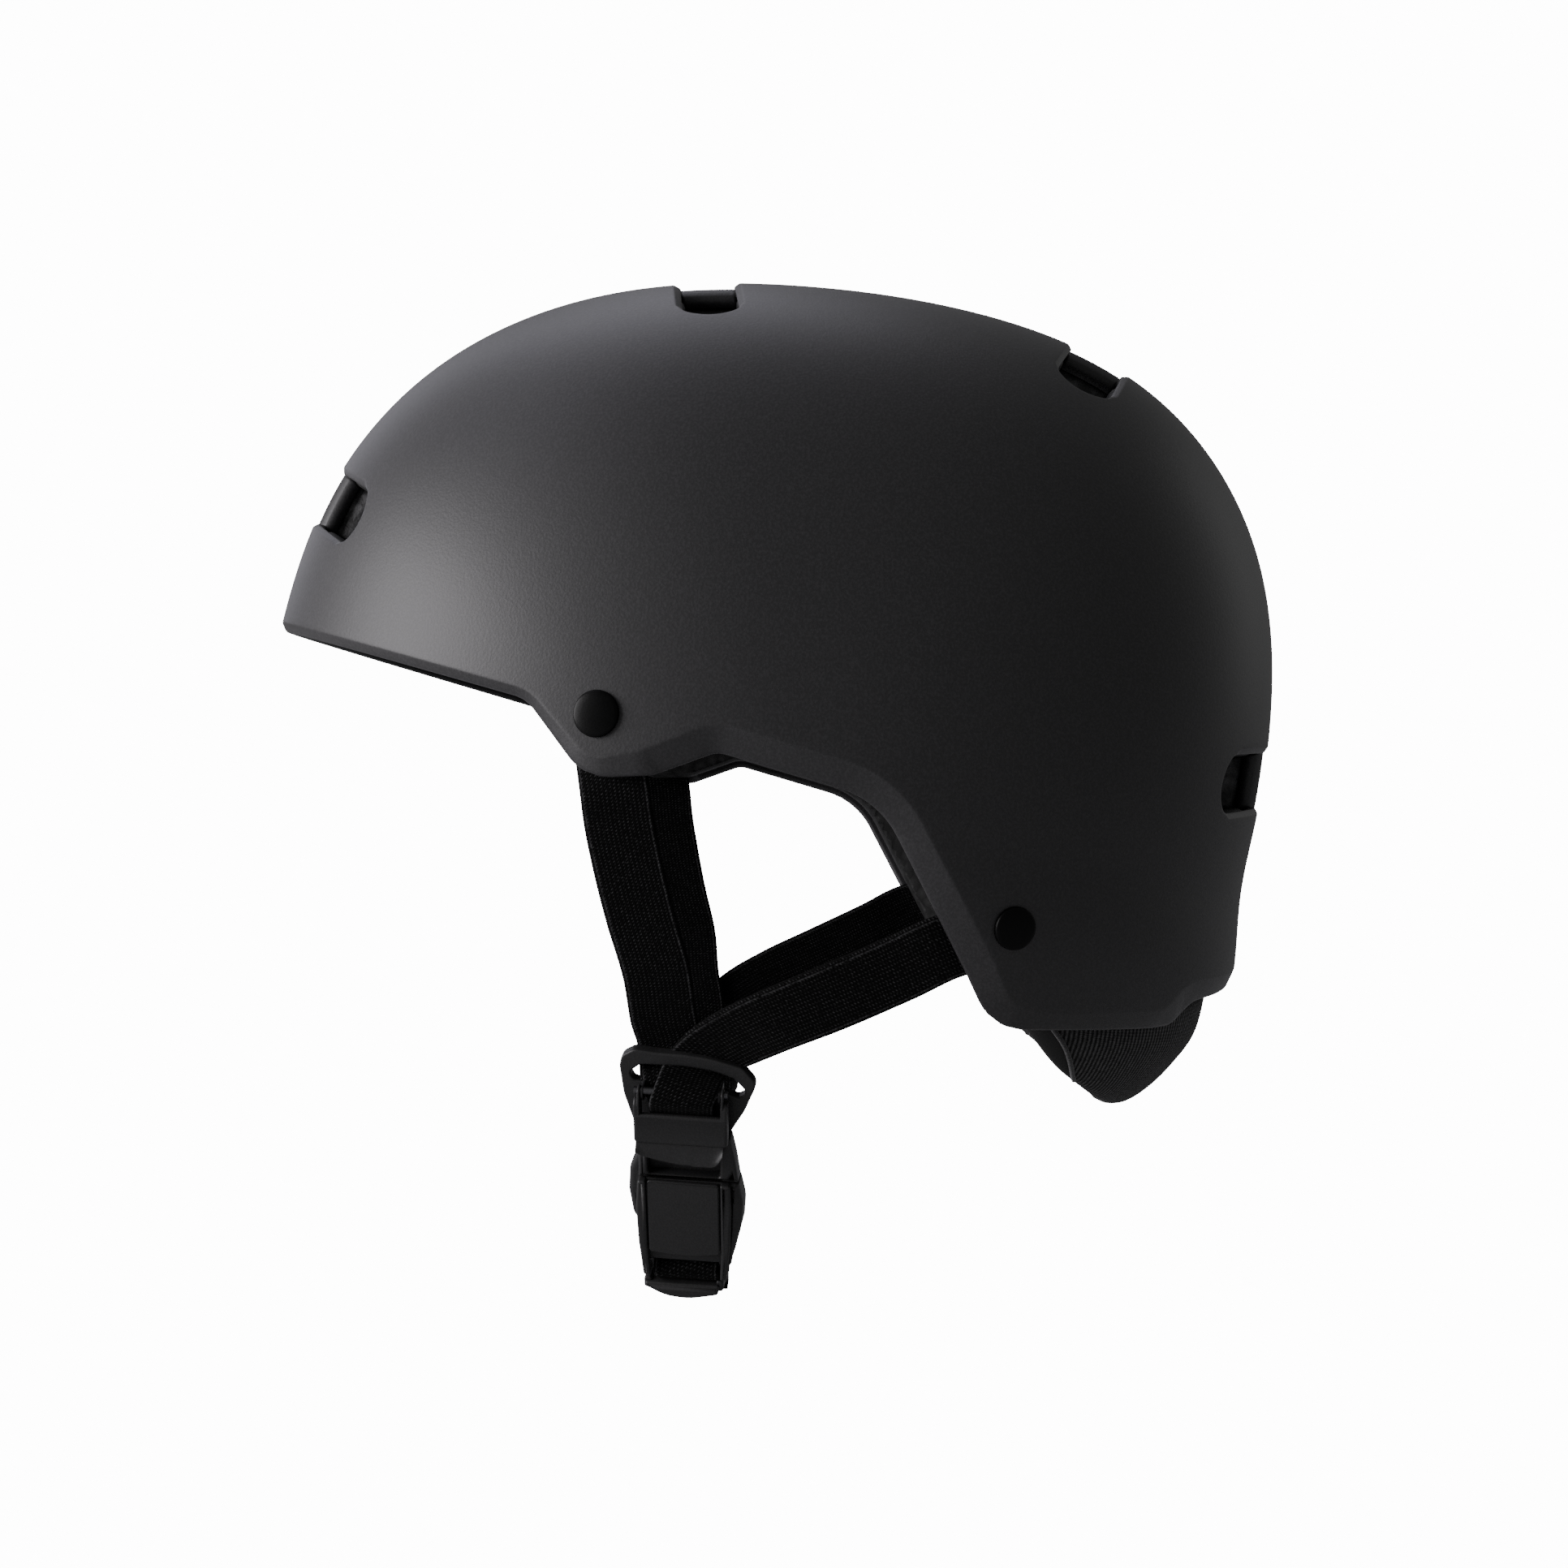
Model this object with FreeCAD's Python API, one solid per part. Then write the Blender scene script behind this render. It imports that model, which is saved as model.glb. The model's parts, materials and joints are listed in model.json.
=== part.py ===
import FreeCAD, Part
import math
import os

# Water-sports helmet. Millimetres.
# +X is the wearer's left, -Y the brow, +Z up.
# The origin is on the mid-plane, on the axis that joins the two ear holes.

Vec = FreeCAD.Vector
SIDES = {"left": 1, "right": -1}

# ---------------------------------------------------------------- driving dimensions
HALF_WIDTH = 112.0          # outer shell, mid-plane to the flat of the ear
SHELL = 3.2                 # wall of the outer shell
LINER_OUT = 3.4             # depths below the outer surface
LINER_IN = 18.4
PAD_OUT = 18.6
PAD_IN = 24.6
LINER_RIM_INSET = 2.0       # liner edge above the shell edge

# Arches through the two ear poles: direction in degrees from the brow over the
# crown to the nape, radius on the mid-plane, and side fullness of the arch.
ARCHES = [
    (-30, 165.0, 0.00),
    (-10, 163.0, 0.00),
    (5, 161.0, 0.00),
    (20, 162.5, 0.00),
    (35, 168.5, 0.03),
    (50, 170.5, 0.06),
    (70, 164.0, 0.12),
    (90, 156.5, 0.14),
    (110, 157.5, 0.14),
    (130, 162.0, 0.12),
    (150, 155.0, 0.10),
    (165, 143.5, 0.08),
    (180, 134.0, 0.06),
    (190, 131.5, 0.04),
    (200, 135.5, 0.03),
    (215, 139.0, 0.00),
    (240, 140.0, 0.00),
]
ARCH_STEP = 10              # degrees between arches of the surface
ACROSS = [-87] + list(range(-80, 81, 10)) + [87]

# Lower edge seen from the side: Y, Z, corner radius, from brow to nape.
RIM = [
    (-69.5, 31.6, 9),
    (-54.0, 11.3, 13),
    (-37.0, 11.9, 10),
    (-20.4, 17.8, 7),
    (19.7, 5.9, 24),
    (42.5, -38.6, 40),
    (49.2, -52.8, 14),
    (100.0, -55.6, 8),
    (107.5, -49.2, 8),
]
RIM_FRONT = (-190.0, 66.6)
RIM_REAR = (190.0, -43.5)
FAR = 220.0                 # beyond the crown
BEYOND_SIDE = HALF_WIDTH + 10.0

# Vents: direction of the middle, half height, and how far from the mid-plane
# the corners and the middle of the curved end are.
VENTS = [
    (34.5, 8.0, 54.6, 58.0),
    (80.2, 7.7, 57.2, 60.3),
    (123.0, 8.2, 58.0, 62.0),
    (175.0, 7.8, 60.5, 64.5),
]
SPINE_HALF = 9.0            # solid spine between the left and right vents
VENT_LINER_INSET = 2.5
VENT_CUT = (90.0, 200.0)    # distances from the ear axis that the cutters reach

# Rivets: direction, angle across, cap radius.
RIVETS = {"front": (28.4, 69.9, 6.0), "rear": (206.0, 64.4, 5.6)}
CAP_DOME = 11.0             # radius of the cap's round face
CAP_RIM = 1.0               # height of the cap's edge
CAP_TOP = 2.2
STEM = 2.4                  # radius
STEM_DEPTH = 7.6
NUT = 7.0                   # radius of the washer
NUT_BARREL = 3.6

# Neck pad: a scoop round an upright axis behind the ears.
NECK_Y = 40.0
NECK_TOP_R = 80.0
NECK_SPREAD = 75            # degrees to each side
NECK_THICK = 6.5
NECK_TIPS = [(0, -83.4), (40, -78.2), (50, -75.2), (60, -70.0), (65, -66.8), (75, -59.4)]

WEB = 18.0                  # webbing width
WEB_THICK = 1.5

# Harness plane of the left side, through its hinge line and the divider.
HINGE_FRONT = Vec(101.0, -50.0, 9.0)
HINGE_REAR = Vec(91.5, 36.0, -40.0)
DIVIDER = Vec(70.0, -31.0, -70.0)
HINGE_GAP = 0.9
CLEAR = 0.1                 # play round pins, bars and stems

PIVOT = (-0.4, 3.4)         # cam flap axis: up and out in the harness plane
PIN = 1.0
LUGS = ((-10.7, -9.3), (9.3, 10.7))     # lugs of the divider that carry the pin
EAR = 10.9                  # inner face of the cam flap's ears
FLAP_HALF = 12.6
BAIL_Y = -17.0              # bar of the buckle bail
BAIL = 2.0
INNER_BAR = (-55.5, -3.6)   # bar of the tongue that the chin strap loops on
INNER_BAR_R = 1.5
CHIN_LOW = -136.0           # lowest point of the chin strap's middle line


# ---------------------------------------------------------------- small helpers
def box(x0, x1, y0, y1, z0, z1):
    return Part.makeBox(x1 - x0, y1 - y0, z1 - z0, Vec(x0, y0, z0))


def cylinder(radius, start, end):
    return Part.makeCylinder(radius, (end - start).Length, start, end - start)


def fuse(shapes):
    result = shapes[0].fuse(shapes[1:])
    return result.removeSplitter()


def plate(points, z0, z1):
    """Flat plate: a closed outline in X, Y between two heights."""
    corners = [Vec(x, y, z0) for x, y in points]
    face = Part.Face(Part.makePolygon(corners + corners[:1]))
    return face.extrude(Vec(0, 0, z1 - z0))


def side_prism(wire, x0, x1):
    """Solid from a closed wire in the Y-Z plane, between two X positions."""
    face = Part.Face(wire)
    face.translate(Vec(x0, 0, 0))
    return face.extrude(Vec(x1 - x0, 0, 0))


def side_polygon(points, x0, x1):
    corners = [Vec(0, y, z) for y, z in points]
    return side_prism(Part.makePolygon(corners + corners[:1]), x0, x1)


def rounded_wire(corners):
    """Closed Y-Z wire through corners (Y, Z, radius); radius 0 is sharp."""
    edges = []
    last = None
    first = None
    count = len(corners)
    for i, (y, z, radius) in enumerate(corners):
        point = Vec(0, y, z)
        before = Vec(0, *corners[i - 1][:2]) - point
        after = Vec(0, *corners[(i + 1) % count][:2]) - point
        before.normalize()
        after.normalize()
        if radius:
            half = before.getAngle(after) / 2
            start = point + before * (radius / math.tan(half))
            end = point + after * (radius / math.tan(half))
            middle_dir = before + after
            middle_dir.normalize()
            middle = point + middle_dir * (radius / math.sin(half) - radius)
            arc = Part.Arc(start, middle, end).toShape()
        else:
            start = point
            end = point
            arc = None
        if last:
            edges.append(Part.makeLine(last, start))
        else:
            first = start
        if arc:
            edges.append(arc)
        last = end
    edges.append(Part.makeLine(last, first))
    return Part.Wire(edges)


def save(shape, name):
    if not shape.isValid():
        print("not valid:", name)
    shape.exportStep("parts/" + name + ".step")


# ---------------------------------------------------------------- dome surface
def arch_curve():
    """Radius and fullness as a smooth function of the direction."""
    curve = Part.BSplineCurve()
    points = [Vec(angle, radius, full * 100) for angle, radius, full in ARCHES]
    curve.interpolate(Points=points, Parameters=[float(row[0]) for row in ARCHES])
    return curve


ARCH_CURVE = arch_curve()


def dome_point(direction, across, depth=0.0):
    """Point on the dome, depth below its outer surface."""
    value = ARCH_CURVE.value(float(direction))
    a = math.radians(direction)
    t = math.radians(across)
    reach = (value.y - depth) * math.cos(t) * (1 + value.z / 100 * math.sin(t) ** 2)
    x = (HALF_WIDTH - depth) * math.sin(t)
    return Vec(x, -reach * math.cos(a), reach * math.sin(a))


def dome_normal(direction, across):
    along = dome_point(direction + 0.5, across) - dome_point(direction - 0.5, across)
    over = dome_point(direction, across + 0.5) - dome_point(direction, across - 0.5)
    normal = over.cross(along)
    normal.normalize()
    if normal.dot(dome_point(direction, across)) < 0:
        normal = normal * -1
    return normal


def spline_through(points, parameters):
    curve = Part.BSplineCurve()
    curve.interpolate(Points=points, Parameters=[float(p) for p in parameters])
    return curve


def dome(depth):
    """Closed solid of everything inside the dome, depth below its surface."""
    directions = list(range(ARCHES[0][0], ARCHES[-1][0] + 1, ARCH_STEP))
    arches = []
    for direction in directions:
        row = [dome_point(direction, across, depth) for across in ACROSS]
        arches.append(spline_through(row, ACROSS))
    across_poles = [arch.getPoles() for arch in arches]
    columns = []
    for j in range(len(across_poles[0])):
        column = [poles[j] for poles in across_poles]
        columns.append(spline_through(column, directions))
    grid = [list(row) for row in zip(*[column.getPoles() for column in columns])]
    surface = Part.BSplineSurface()
    surface.buildFromPolesMultsKnots(
        grid,
        columns[0].getMultiplicities(),
        arches[0].getMultiplicities(),
        columns[0].getKnots(),
        arches[0].getKnots(),
        False,
        False,
        3,
        3,
    )
    skin = surface.toShape()
    cap_x = (HALF_WIDTH - depth) * math.sin(math.radians(ACROSS[-1]))
    faces = [skin]
    ends = []
    for direction in (directions[0], directions[-1]):
        edge = surface.uIso(float(direction)).toShape()
        low = Vec(-cap_x, 0, 0)
        high = Vec(cap_x, 0, 0)
        a = surface.value(float(direction), float(ACROSS[0]))
        b = surface.value(float(direction), float(ACROSS[-1]))
        wire = Part.Wire(Part.__sortEdges__([
            edge, Part.makeLine(a, low), Part.makeLine(low, high), Part.makeLine(high, b)]))
        faces.append(Part.Face(wire))
        ends.append((a, b))
    for across, index in ((ACROSS[0], 0), (ACROSS[-1], 1)):
        edge = surface.vIso(float(across)).toShape()
        centre = Vec(cap_x if index else -cap_x, 0, 0)
        wire = Part.Wire(Part.__sortEdges__([
            edge, Part.makeLine(ends[1][index], centre), Part.makeLine(centre, ends[0][index])]))
        faces.append(Part.Face(wire))
    shell = Part.Shell(faces)
    if not shell.isClosed():
        shell.sewShape()
    solid = Part.Solid(shell)
    if solid.Volume < 0:
        solid.reverse()
    return solid


DOMES = {}


def dome_at(depth):
    if depth not in DOMES:
        DOMES[depth] = dome(depth)
    return DOMES[depth]


def layer(outer, inner, region):
    """The part of a dome layer, between two depths, that lies in a region."""
    return dome_at(outer).common(region).cut(dome_at(inner))


# ---------------------------------------------------------------- rim and vents
def rim_wire(inset=0.0):
    corners = [(RIM_FRONT[0], RIM_FRONT[1], 0)]
    corners += RIM
    corners += [(RIM_REAR[0], RIM_REAR[1], 0), (RIM_REAR[0], FAR, 0), (RIM_FRONT[0], FAR, 0)]
    wire = rounded_wire(corners)
    if inset:
        wire = wire.makeOffset2D(-inset)
    return wire


def above_rim(inset=0.0):
    return side_prism(rim_wire(inset), -BEYOND_SIDE, BEYOND_SIDE)


def vent_cutter(vent, inset, side):
    """D-shaped hole through the dome on one side of the spine."""
    direction, half, corner, reach = vent
    a = math.radians(direction)
    outward = Vec(0, -math.cos(a), math.sin(a))
    along = Vec(0, math.sin(a), math.cos(a)) * (half - inset)
    across = Vec(side, 0, 0)
    base = outward * VENT_CUT[0]
    start = base + across * (SPINE_HALF + inset)
    straight = base + across * (corner - inset)
    bulge = base + across * (reach - inset)
    points = [start - along, straight - along, bulge, straight + along, start + along]
    edges = [
        Part.makeLine(points[0], points[1]),
        Part.Arc(points[1], points[2], points[3]).toShape(),
        Part.makeLine(points[3], points[4]),
        Part.makeLine(points[4], points[0]),
    ]
    face = Part.Face(Part.Wire(edges))
    return face.extrude(outward * (VENT_CUT[1] - VENT_CUT[0]))


def vent_cutters(inset):
    cutters = []
    for vent in VENTS:
        for side in SIDES.values():
            cutters.append(vent_cutter(vent, inset, side))
    return cutters


# ---------------------------------------------------------------- harness plane
OUT = (DIVIDER - HINGE_FRONT).cross(HINGE_REAR - HINGE_FRONT)
OUT.normalize()
if OUT.x < 0:
    OUT = OUT * -1
UP = Vec(-OUT.z, 0, OUT.x)
UP.normalize()
BACK = UP.cross(OUT)


def to_world(shape):
    """Moves a shape from the harness plane (back, up, out) to the left side."""
    m = FreeCAD.Matrix(
        BACK.x, UP.x, OUT.x, DIVIDER.x,
        BACK.y, UP.y, OUT.y, DIVIDER.y,
        BACK.z, UP.z, OUT.z, DIVIDER.z,
        0, 0, 0, 1)
    moved = shape.copy()
    moved.Placement = FreeCAD.Placement(m).multiply(shape.Placement)
    return moved


def world_point(x, y, z):
    return DIVIDER + BACK * x + UP * y + OUT * z


def mirrored(shape):
    return shape.mirror(Vec(0, 0, 0), Vec(1, 0, 0))


def on_side(shape, side):
    return shape if side == "left" else mirrored(shape)


def plane_xy(point):
    local = point - DIVIDER
    return local.dot(BACK), local.dot(UP)


def hinge_region(upper):
    """Large plate on one side of the hinge line, clear of it by the gap."""
    x0, y0 = plane_xy(HINGE_FRONT)
    x1, y1 = plane_xy(HINGE_REAR)
    length = math.hypot(x1 - x0, y1 - y0)
    ux = (x1 - x0) / length
    uy = (y1 - y0) / length
    sign = 1 if upper else -1
    nx = -uy * sign
    ny = ux * sign
    points = []
    for reach, offset in ((-150, HINGE_GAP), (250, HINGE_GAP), (250, 300), (-150, 300)):
        points.append((x0 + ux * reach + nx * offset, y0 + uy * reach + ny * offset))
    return plate(points, -30, 30)


# ---------------------------------------------------------------- helmet body
def rivet_frame(name):
    direction, across, radius = RIVETS[name]
    return dome_point(direction, across), dome_normal(direction, across), radius


LANES = {
    "front": [(-50.9, 38.0), (-47.0, 11.0)],
    "rear": [(63.5, -22.0), (37.5, -32.5)],
}


def lane(name, width):
    """Strip of the side view that a strap end covers inside the shell."""
    (y0, z0), (y1, z1) = LANES[name]
    length = math.hypot(y1 - y0, z1 - z0)
    ny = -(z1 - z0) / length * width / 2
    nz = (y1 - y0) / length * width / 2
    points = [(y0 + ny, z0 + nz), (y1 + ny, z1 + nz), (y1 - ny, z1 - nz), (y0 - ny, z0 - nz)]
    return side_polygon(points, 60, BEYOND_SIDE)


def outer_shell():
    shell = layer(0.0, SHELL, above_rim())
    shell = shell.cut(vent_cutters(0.0))
    stems = []
    for name in RIVETS:
        point, normal, _ = rivet_frame(name)
        hole = cylinder(STEM + CLEAR, point - normal * STEM_DEPTH, point + normal * 5)
        stems += [hole, mirrored(hole)]
    return shell.cut(stems)


def impact_liner():
    liner = layer(LINER_OUT, LINER_IN, above_rim(LINER_RIM_INSET))
    cutters = vent_cutters(VENT_LINER_INSET)
    for name in RIVETS:
        point, normal, _ = rivet_frame(name)
        pocket = layer(SHELL - 0.4, 6.4, lane(name, WEB + 3))
        well = cylinder(NUT + 2.5, point - normal * 11, point + normal * 2)
        cutters += [pocket, mirrored(pocket), well, mirrored(well)]
    return liner.cut(cutters)


def sector(first, last, reach):
    """Wedge between two directions, as wide as reach on each side."""
    a = math.radians(first)
    b = math.radians(last)
    points = [(0, 0), (-FAR * math.cos(a), FAR * math.sin(a)), (-FAR * math.cos(b), FAR * math.sin(b))]
    return side_polygon(points, -reach, reach)


def pads():
    save(layer(PAD_OUT, PAD_IN, sector(25, 43, 62)), "brow_pad")
    save(layer(PAD_OUT, PAD_IN, sector(62, 116, 34)), "crown_pad")
    save(layer(PAD_OUT, PAD_IN, sector(152, 186, 52)), "rear_pad")
    corners = [(-38, 42, 12), (40, 42, 12), (36, 78, 14), (-32, 78, 14)]
    side = layer(PAD_OUT, PAD_IN, side_prism(rounded_wire(corners), 60, HALF_WIDTH))
    for name in SIDES:
        save(on_side(side, name), "side_pad_" + name)


def hook_patches():
    """Hook discs on the liner, one behind each pad corner that needs holding."""
    places = [(34, -14), (34, 14), (75, 0), (103, 0), (169, -12), (169, 12)]
    discs = []
    for direction, across in places:
        point = dome_point(direction, across, LINER_IN)
        normal = dome_normal(direction, across)
        disc = cylinder(9, point - normal * 2, point + normal * 2)
        discs.append(layer(LINER_IN + 0.02, PAD_OUT - 0.02, disc))
    return Part.makeCompound(discs)


def neck_tip(angle):
    """Height of the pad's lower edge, from the angles and heights in NECK_TIPS."""
    for (a, low), (b, high) in zip(NECK_TIPS, NECK_TIPS[1:]):
        if angle <= b:
            return low + (high - low) * (angle - a) / (b - a)


def neck_section(angle, scale):
    """Closed outline of the neck pad in an upright plane through the nape."""
    turn = abs(angle) / NECK_SPREAD
    tip_r = 50.0 + 26.0 * turn ** 1.5
    tip_z = neck_tip(abs(angle))
    top_z = -49.8 - 4.6 * min(1.0, turn * 2.2)
    profile = [(0.0, 0.0), (0.10, 0.34), (0.27, 0.56), (0.50, 0.77), (0.84, 0.985), (1.0, 1.0)]
    outer = []
    for inward, down in profile:
        outer.append((NECK_TOP_R + (tip_r - NECK_TOP_R) * inward, top_z + (tip_z - top_z) * down))
    thick = NECK_THICK * scale
    inner = []
    for r, z in reversed(outer[1:-1]):
        lift = min(thick * 0.45, (top_z - z) * 0.4)
        inner.append((r - thick * 0.72, z + lift))
    inner.append((NECK_TOP_R - 9.5 * scale, top_z))
    a = math.radians(angle)
    points = []
    for r, z in outer + inner:
        points.append(Vec(r * math.sin(a), NECK_Y + r * math.cos(a), z))
    return Part.makePolygon(points + points[:1])


def neck_pad():
    """Nape cradle, thinner towards its two ends."""
    sections = []
    for angle in range(-NECK_SPREAD, NECK_SPREAD + 1, 10):
        sections.append(neck_section(angle, 1.0 - 0.35 * (angle / NECK_SPREAD) ** 2))
    return Part.makeLoft(sections, True, True)


def neck_tape():
    """Hook tape that holds the neck pad under the liner."""
    base = Vec(0, NECK_Y, -49.2)
    ring = Part.makeCylinder(NECK_TOP_R, 1.0, base).cut(Part.makeCylinder(72, 1.0, base))
    return ring.common(box(-24, 24, NECK_Y, 140, -60, -40))


def rivet(name):
    """Domed cap on the shell and its stem, which ends in the nut."""
    point, normal, radius = rivet_frame(name)
    sink = math.sqrt(CAP_DOME ** 2 - radius ** 2)
    ball = Part.makeSphere(CAP_DOME, point + normal * (CAP_RIM - sink))
    cap = cylinder(radius, point - normal * 0.6, point + normal * CAP_TOP)
    cap = cap.common(ball).cut(dome_at(0.0))
    stem = cylinder(STEM, point - normal * STEM_DEPTH, point + normal * CAP_RIM)
    return fuse([cap, stem])


def rivet_nut(name):
    point, normal, _ = rivet_frame(name)
    washer = cylinder(NUT, point - normal * 7.2, point - normal * 6.0)
    barrel = cylinder(NUT_BARREL, point - normal * 9.4, point - normal * 7.2)
    return fuse([washer, barrel]).cut(cylinder(STEM, point - normal * STEM_DEPTH, point))


STUBS = {
    "front": [(-25.6, 92.0), (-25.0, 80.0), (-5.0, 74.0), (-7.4, 92.0)],
    "rear": [(69.5, 56.2), (40.0, 39.4), (60.0, 28.8), (76.0, 37.0)],
}


def strap_anchor(name):
    """Sewn strap end: inside the shell round the rivet, then out to the hinge line."""
    point, normal, _ = rivet_frame(name)
    beyond_hinge = to_world(hinge_region(True))
    inside = layer(3.7, 5.3, lane(name, WEB)).common(beyond_hinge)
    outside = to_world(plate(STUBS[name], -WEB_THICK / 2, WEB_THICK / 2)).common(beyond_hinge)
    outside = outside.cut(layer(0.0, SHELL + 0.1, above_rim()))
    joined = fuse([inside, outside])
    joined = joined.cut(cylinder(STEM + CLEAR, point - normal * 9, point + normal * 2))
    return max(joined.Solids, key=lambda solid: solid.Volume)


# ---------------------------------------------------------------- harness pieces
FRONT_EDGE = [(-25.4, 90.0), (-19.5, 47.1), (-12.4, 11.5), (-9.0, 2.6), (-9.0, -14.0)]
FRONT_BACK = [(9.0, -14.0), (9.0, -2.0), (4.6, 27.0), (-0.9, 55.2), (-7.2, 90.0)]
REAR_TOP = [(70.0, 56.5), (4.9, 19.5), (-9.0, 6.0), (-9.0, -3.0)]
REAR_LOW = [(9.0, -3.0), (9.0, 2.4), (12.3, 4.4), (19.9, 8.3), (75.5, 36.7)]


def strap_loop(bar_y, bar_z, bar, leg_top, leg_z):
    """Webbing folded round a bar, with one return leg; drawn in the harness plane."""
    half = WEB / 2
    outer = cylinder(bar + CLEAR + WEB_THICK, Vec(-half, bar_y, bar_z), Vec(half, bar_y, bar_z))
    legs = box(-half, half, bar_y, leg_top, leg_z[0], leg_z[1])
    hole = cylinder(bar + CLEAR, Vec(-half - 1, bar_y, bar_z), Vec(half + 1, bar_y, bar_z))
    return fuse([outer, legs]).cut(hole)


def front_leg():
    leg = plate(FRONT_EDGE + FRONT_BACK, -1.6, -0.1)
    return leg.common(hinge_region(False))


def front_strap_left():
    loop = strap_loop(BAIL_Y, 0.0, BAIL, -4.0, (0.1, 1.6))
    back = box(-WEB / 2, WEB / 2, BAIL_Y, -12.0, -1.6, -0.1)
    bar_hole = cylinder(BAIL + CLEAR, Vec(-10, BAIL_Y, 0), Vec(10, BAIL_Y, 0))
    return to_world(fuse([front_leg(), loop, back]).cut(bar_hole))


def rear_strap():
    leg = plate(REAR_TOP + REAR_LOW, 0.1, 1.6)
    return to_world(leg.common(hinge_region(False)))


def divider():
    floor = [(-17, 7.5), (-12, 13), (10, 11.2), (18.5, 9), (19.8, 5), (15.6, -4)]
    floor += [(12.6, -12), (-13.4, -12), (-15.9, -4)]
    bar = [(-17, 7.5), (-12, 13), (10, 11.2), (18.5, 9), (19.8, 5), (16, -1), (13, -1)]
    bar += [(13.2, 2.5), (15.8, 5.8), (9.5, 7.9), (-11, 9.2), (-13, 6.5), (-13, -1), (-15.9, -1)]
    pieces = [plate(floor, -4.2, -2.2), plate(bar, 2.0, 4.8)]
    pieces.append(box(-15.8, -13.0, -9.0, 6.4, -2.3, 2.1))
    pieces.append(box(13.0, 15.6, -4.0, 2.4, -2.3, 2.1))
    for x0, x1 in LUGS:
        pieces.append(box(x0, x1, -2.4, 2.0, -3.0, 5.0))
    body = fuse(pieces)
    y, z = PIVOT
    return to_world(body.cut(cylinder(PIN + 0.05, Vec(-16, y, z), Vec(16, y, z))))


def cam_pin():
    y, z = PIVOT
    return to_world(cylinder(PIN, Vec(-FLAP_HALF, y, z), Vec(FLAP_HALF, y, z)))


def cam_flap():
    """Face with a round ear at each end, outside the lugs of the divider."""
    y, z = PIVOT
    pieces = [box(-FLAP_HALF, FLAP_HALF, -21.0, -3.8, 4.3, 6.0)]
    for x0, x1 in ((-FLAP_HALF, -EAR), (EAR, FLAP_HALF)):
        pieces.append(box(x0, x1, -12.0, y, 2.0, 5.8))
        pieces.append(cylinder(2.4, Vec(x0, y, z), Vec(x1, y, z)))
    flap = fuse(pieces)
    return to_world(flap.cut(cylinder(PIN + 0.3, Vec(-16, y, z), Vec(16, y, z))))


def buckle_body():
    """Housing with the bail on top, a recess for the release plate in front and
    a pocket for the tongue that is open behind, below and towards the brow."""
    flank = [(9.3, -24.0), (13.0, -22.0), (16.0, -31.0), (15.2, -40.0), (12.6, -52.0)]
    flank += [(11.0, -57.6), (9.3, -57.6)]
    pieces = [
        cylinder(BAIL, Vec(-12.9, BAIL_Y, 0), Vec(12.9, BAIL_Y, 0)),
        box(-12.9, -10.1, -28.0, BAIL_Y, -2.2, 3.0),
        box(10.1, 12.9, -28.0, BAIL_Y, -2.2, 3.0),
        box(-13.0, 13.0, -48.6, -27.0, -5.5, 5.0),
        plate(flank, -0.3, 3.6),
        box(-13.0, -9.3, -57.6, -40.0, -0.3, 5.0),
        box(9.3, 12.9, -57.6, -40.0, -0.3, 5.0),
        box(-10.0, 10.0, -54.6, -48.0, -0.2, 2.8),
        plate([(-13.0, -22.0), (-14.6, -24.5), (-14.6, -34.0), (-13.0, -36.5), (-12.0, -30)], -4.0, 1.0),
    ]
    body = fuse(pieces)
    cuts = [
        box(-10.2, 10.2, -54.6, -27.2, 3.0, 7.0),
        box(-15.0, 9.3, -60.0, -30.4, -8.0, -2.5),
        box(-4.0, 4.0, -52.0, -40.0, -0.4, 3.2),
        box(-5.0, 5.0, -38.2, -31.2, -2.6, -0.4),
    ]
    return to_world(body.cut(cuts))


def body_magnet():
    return to_world(box(-4.9, 4.9, -38.1, -31.3, -2.5, -0.5))


def buckle_release():
    face = box(-9.8, 9.8, -50.5, -27.6, 3.3, 5.6)
    lug = box(-2.0, 2.0, -43.0, -41.0, 0.2, 3.4)
    ribs = []
    for i in range(5):
        y = -46.5 + i * 3.2
        ribs.append(box(-6.0, 6.0, y, y + 1.4, 5.5, 6.1))
    return to_world(fuse([face, lug] + ribs))


def release_spring():
    """Return spring of the release plate, wound along its travel."""
    pitch = 1.45
    length = 8.4
    helix = Part.makeHelix(pitch, length, 1.1)
    wire_face = Part.makeCircle(0.22, Vec(1.1, 0, 0), Vec(0, 1, 0))
    coil = Part.Wire(helix.Edges).makePipeShell([Part.Wire(wire_face)], True, True)
    coil.rotate(Vec(0, 0, 0), Vec(1, 0, 0), -90)
    coil.translate(Vec(0, -51.8, 1.45))
    return to_world(coil)


def buckle_tongue():
    y, z = INNER_BAR
    pieces = [
        box(-8.8, 8.8, -52.0, -31.0, -6.0, -2.9),
        box(-12.4, 12.4, -52.0, -49.2, -6.0, -2.9),
        cylinder(INNER_BAR_R, Vec(-12.0, y, z), Vec(12.0, y, z)),
        box(-11.5, 11.5, -64.4, -60.2, 0.2, 4.0),
    ]
    for x0, x1 in ((-12.4, -9.5), (9.5, 12.4)):
        pieces.append(box(x0, x1, -64.4, -49.2, -5.6, -1.7))
        pieces.append(box(x0, x1, -64.4, -60.0, -5.6, 4.0))
    tongue = fuse(pieces)
    return to_world(tongue.cut(box(-5.0, 5.0, -38.2, -31.2, -4.6, -2.8)))


def tongue_magnet():
    return to_world(box(-4.9, 4.9, -38.1, -31.3, -4.5, -3.0))


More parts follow.
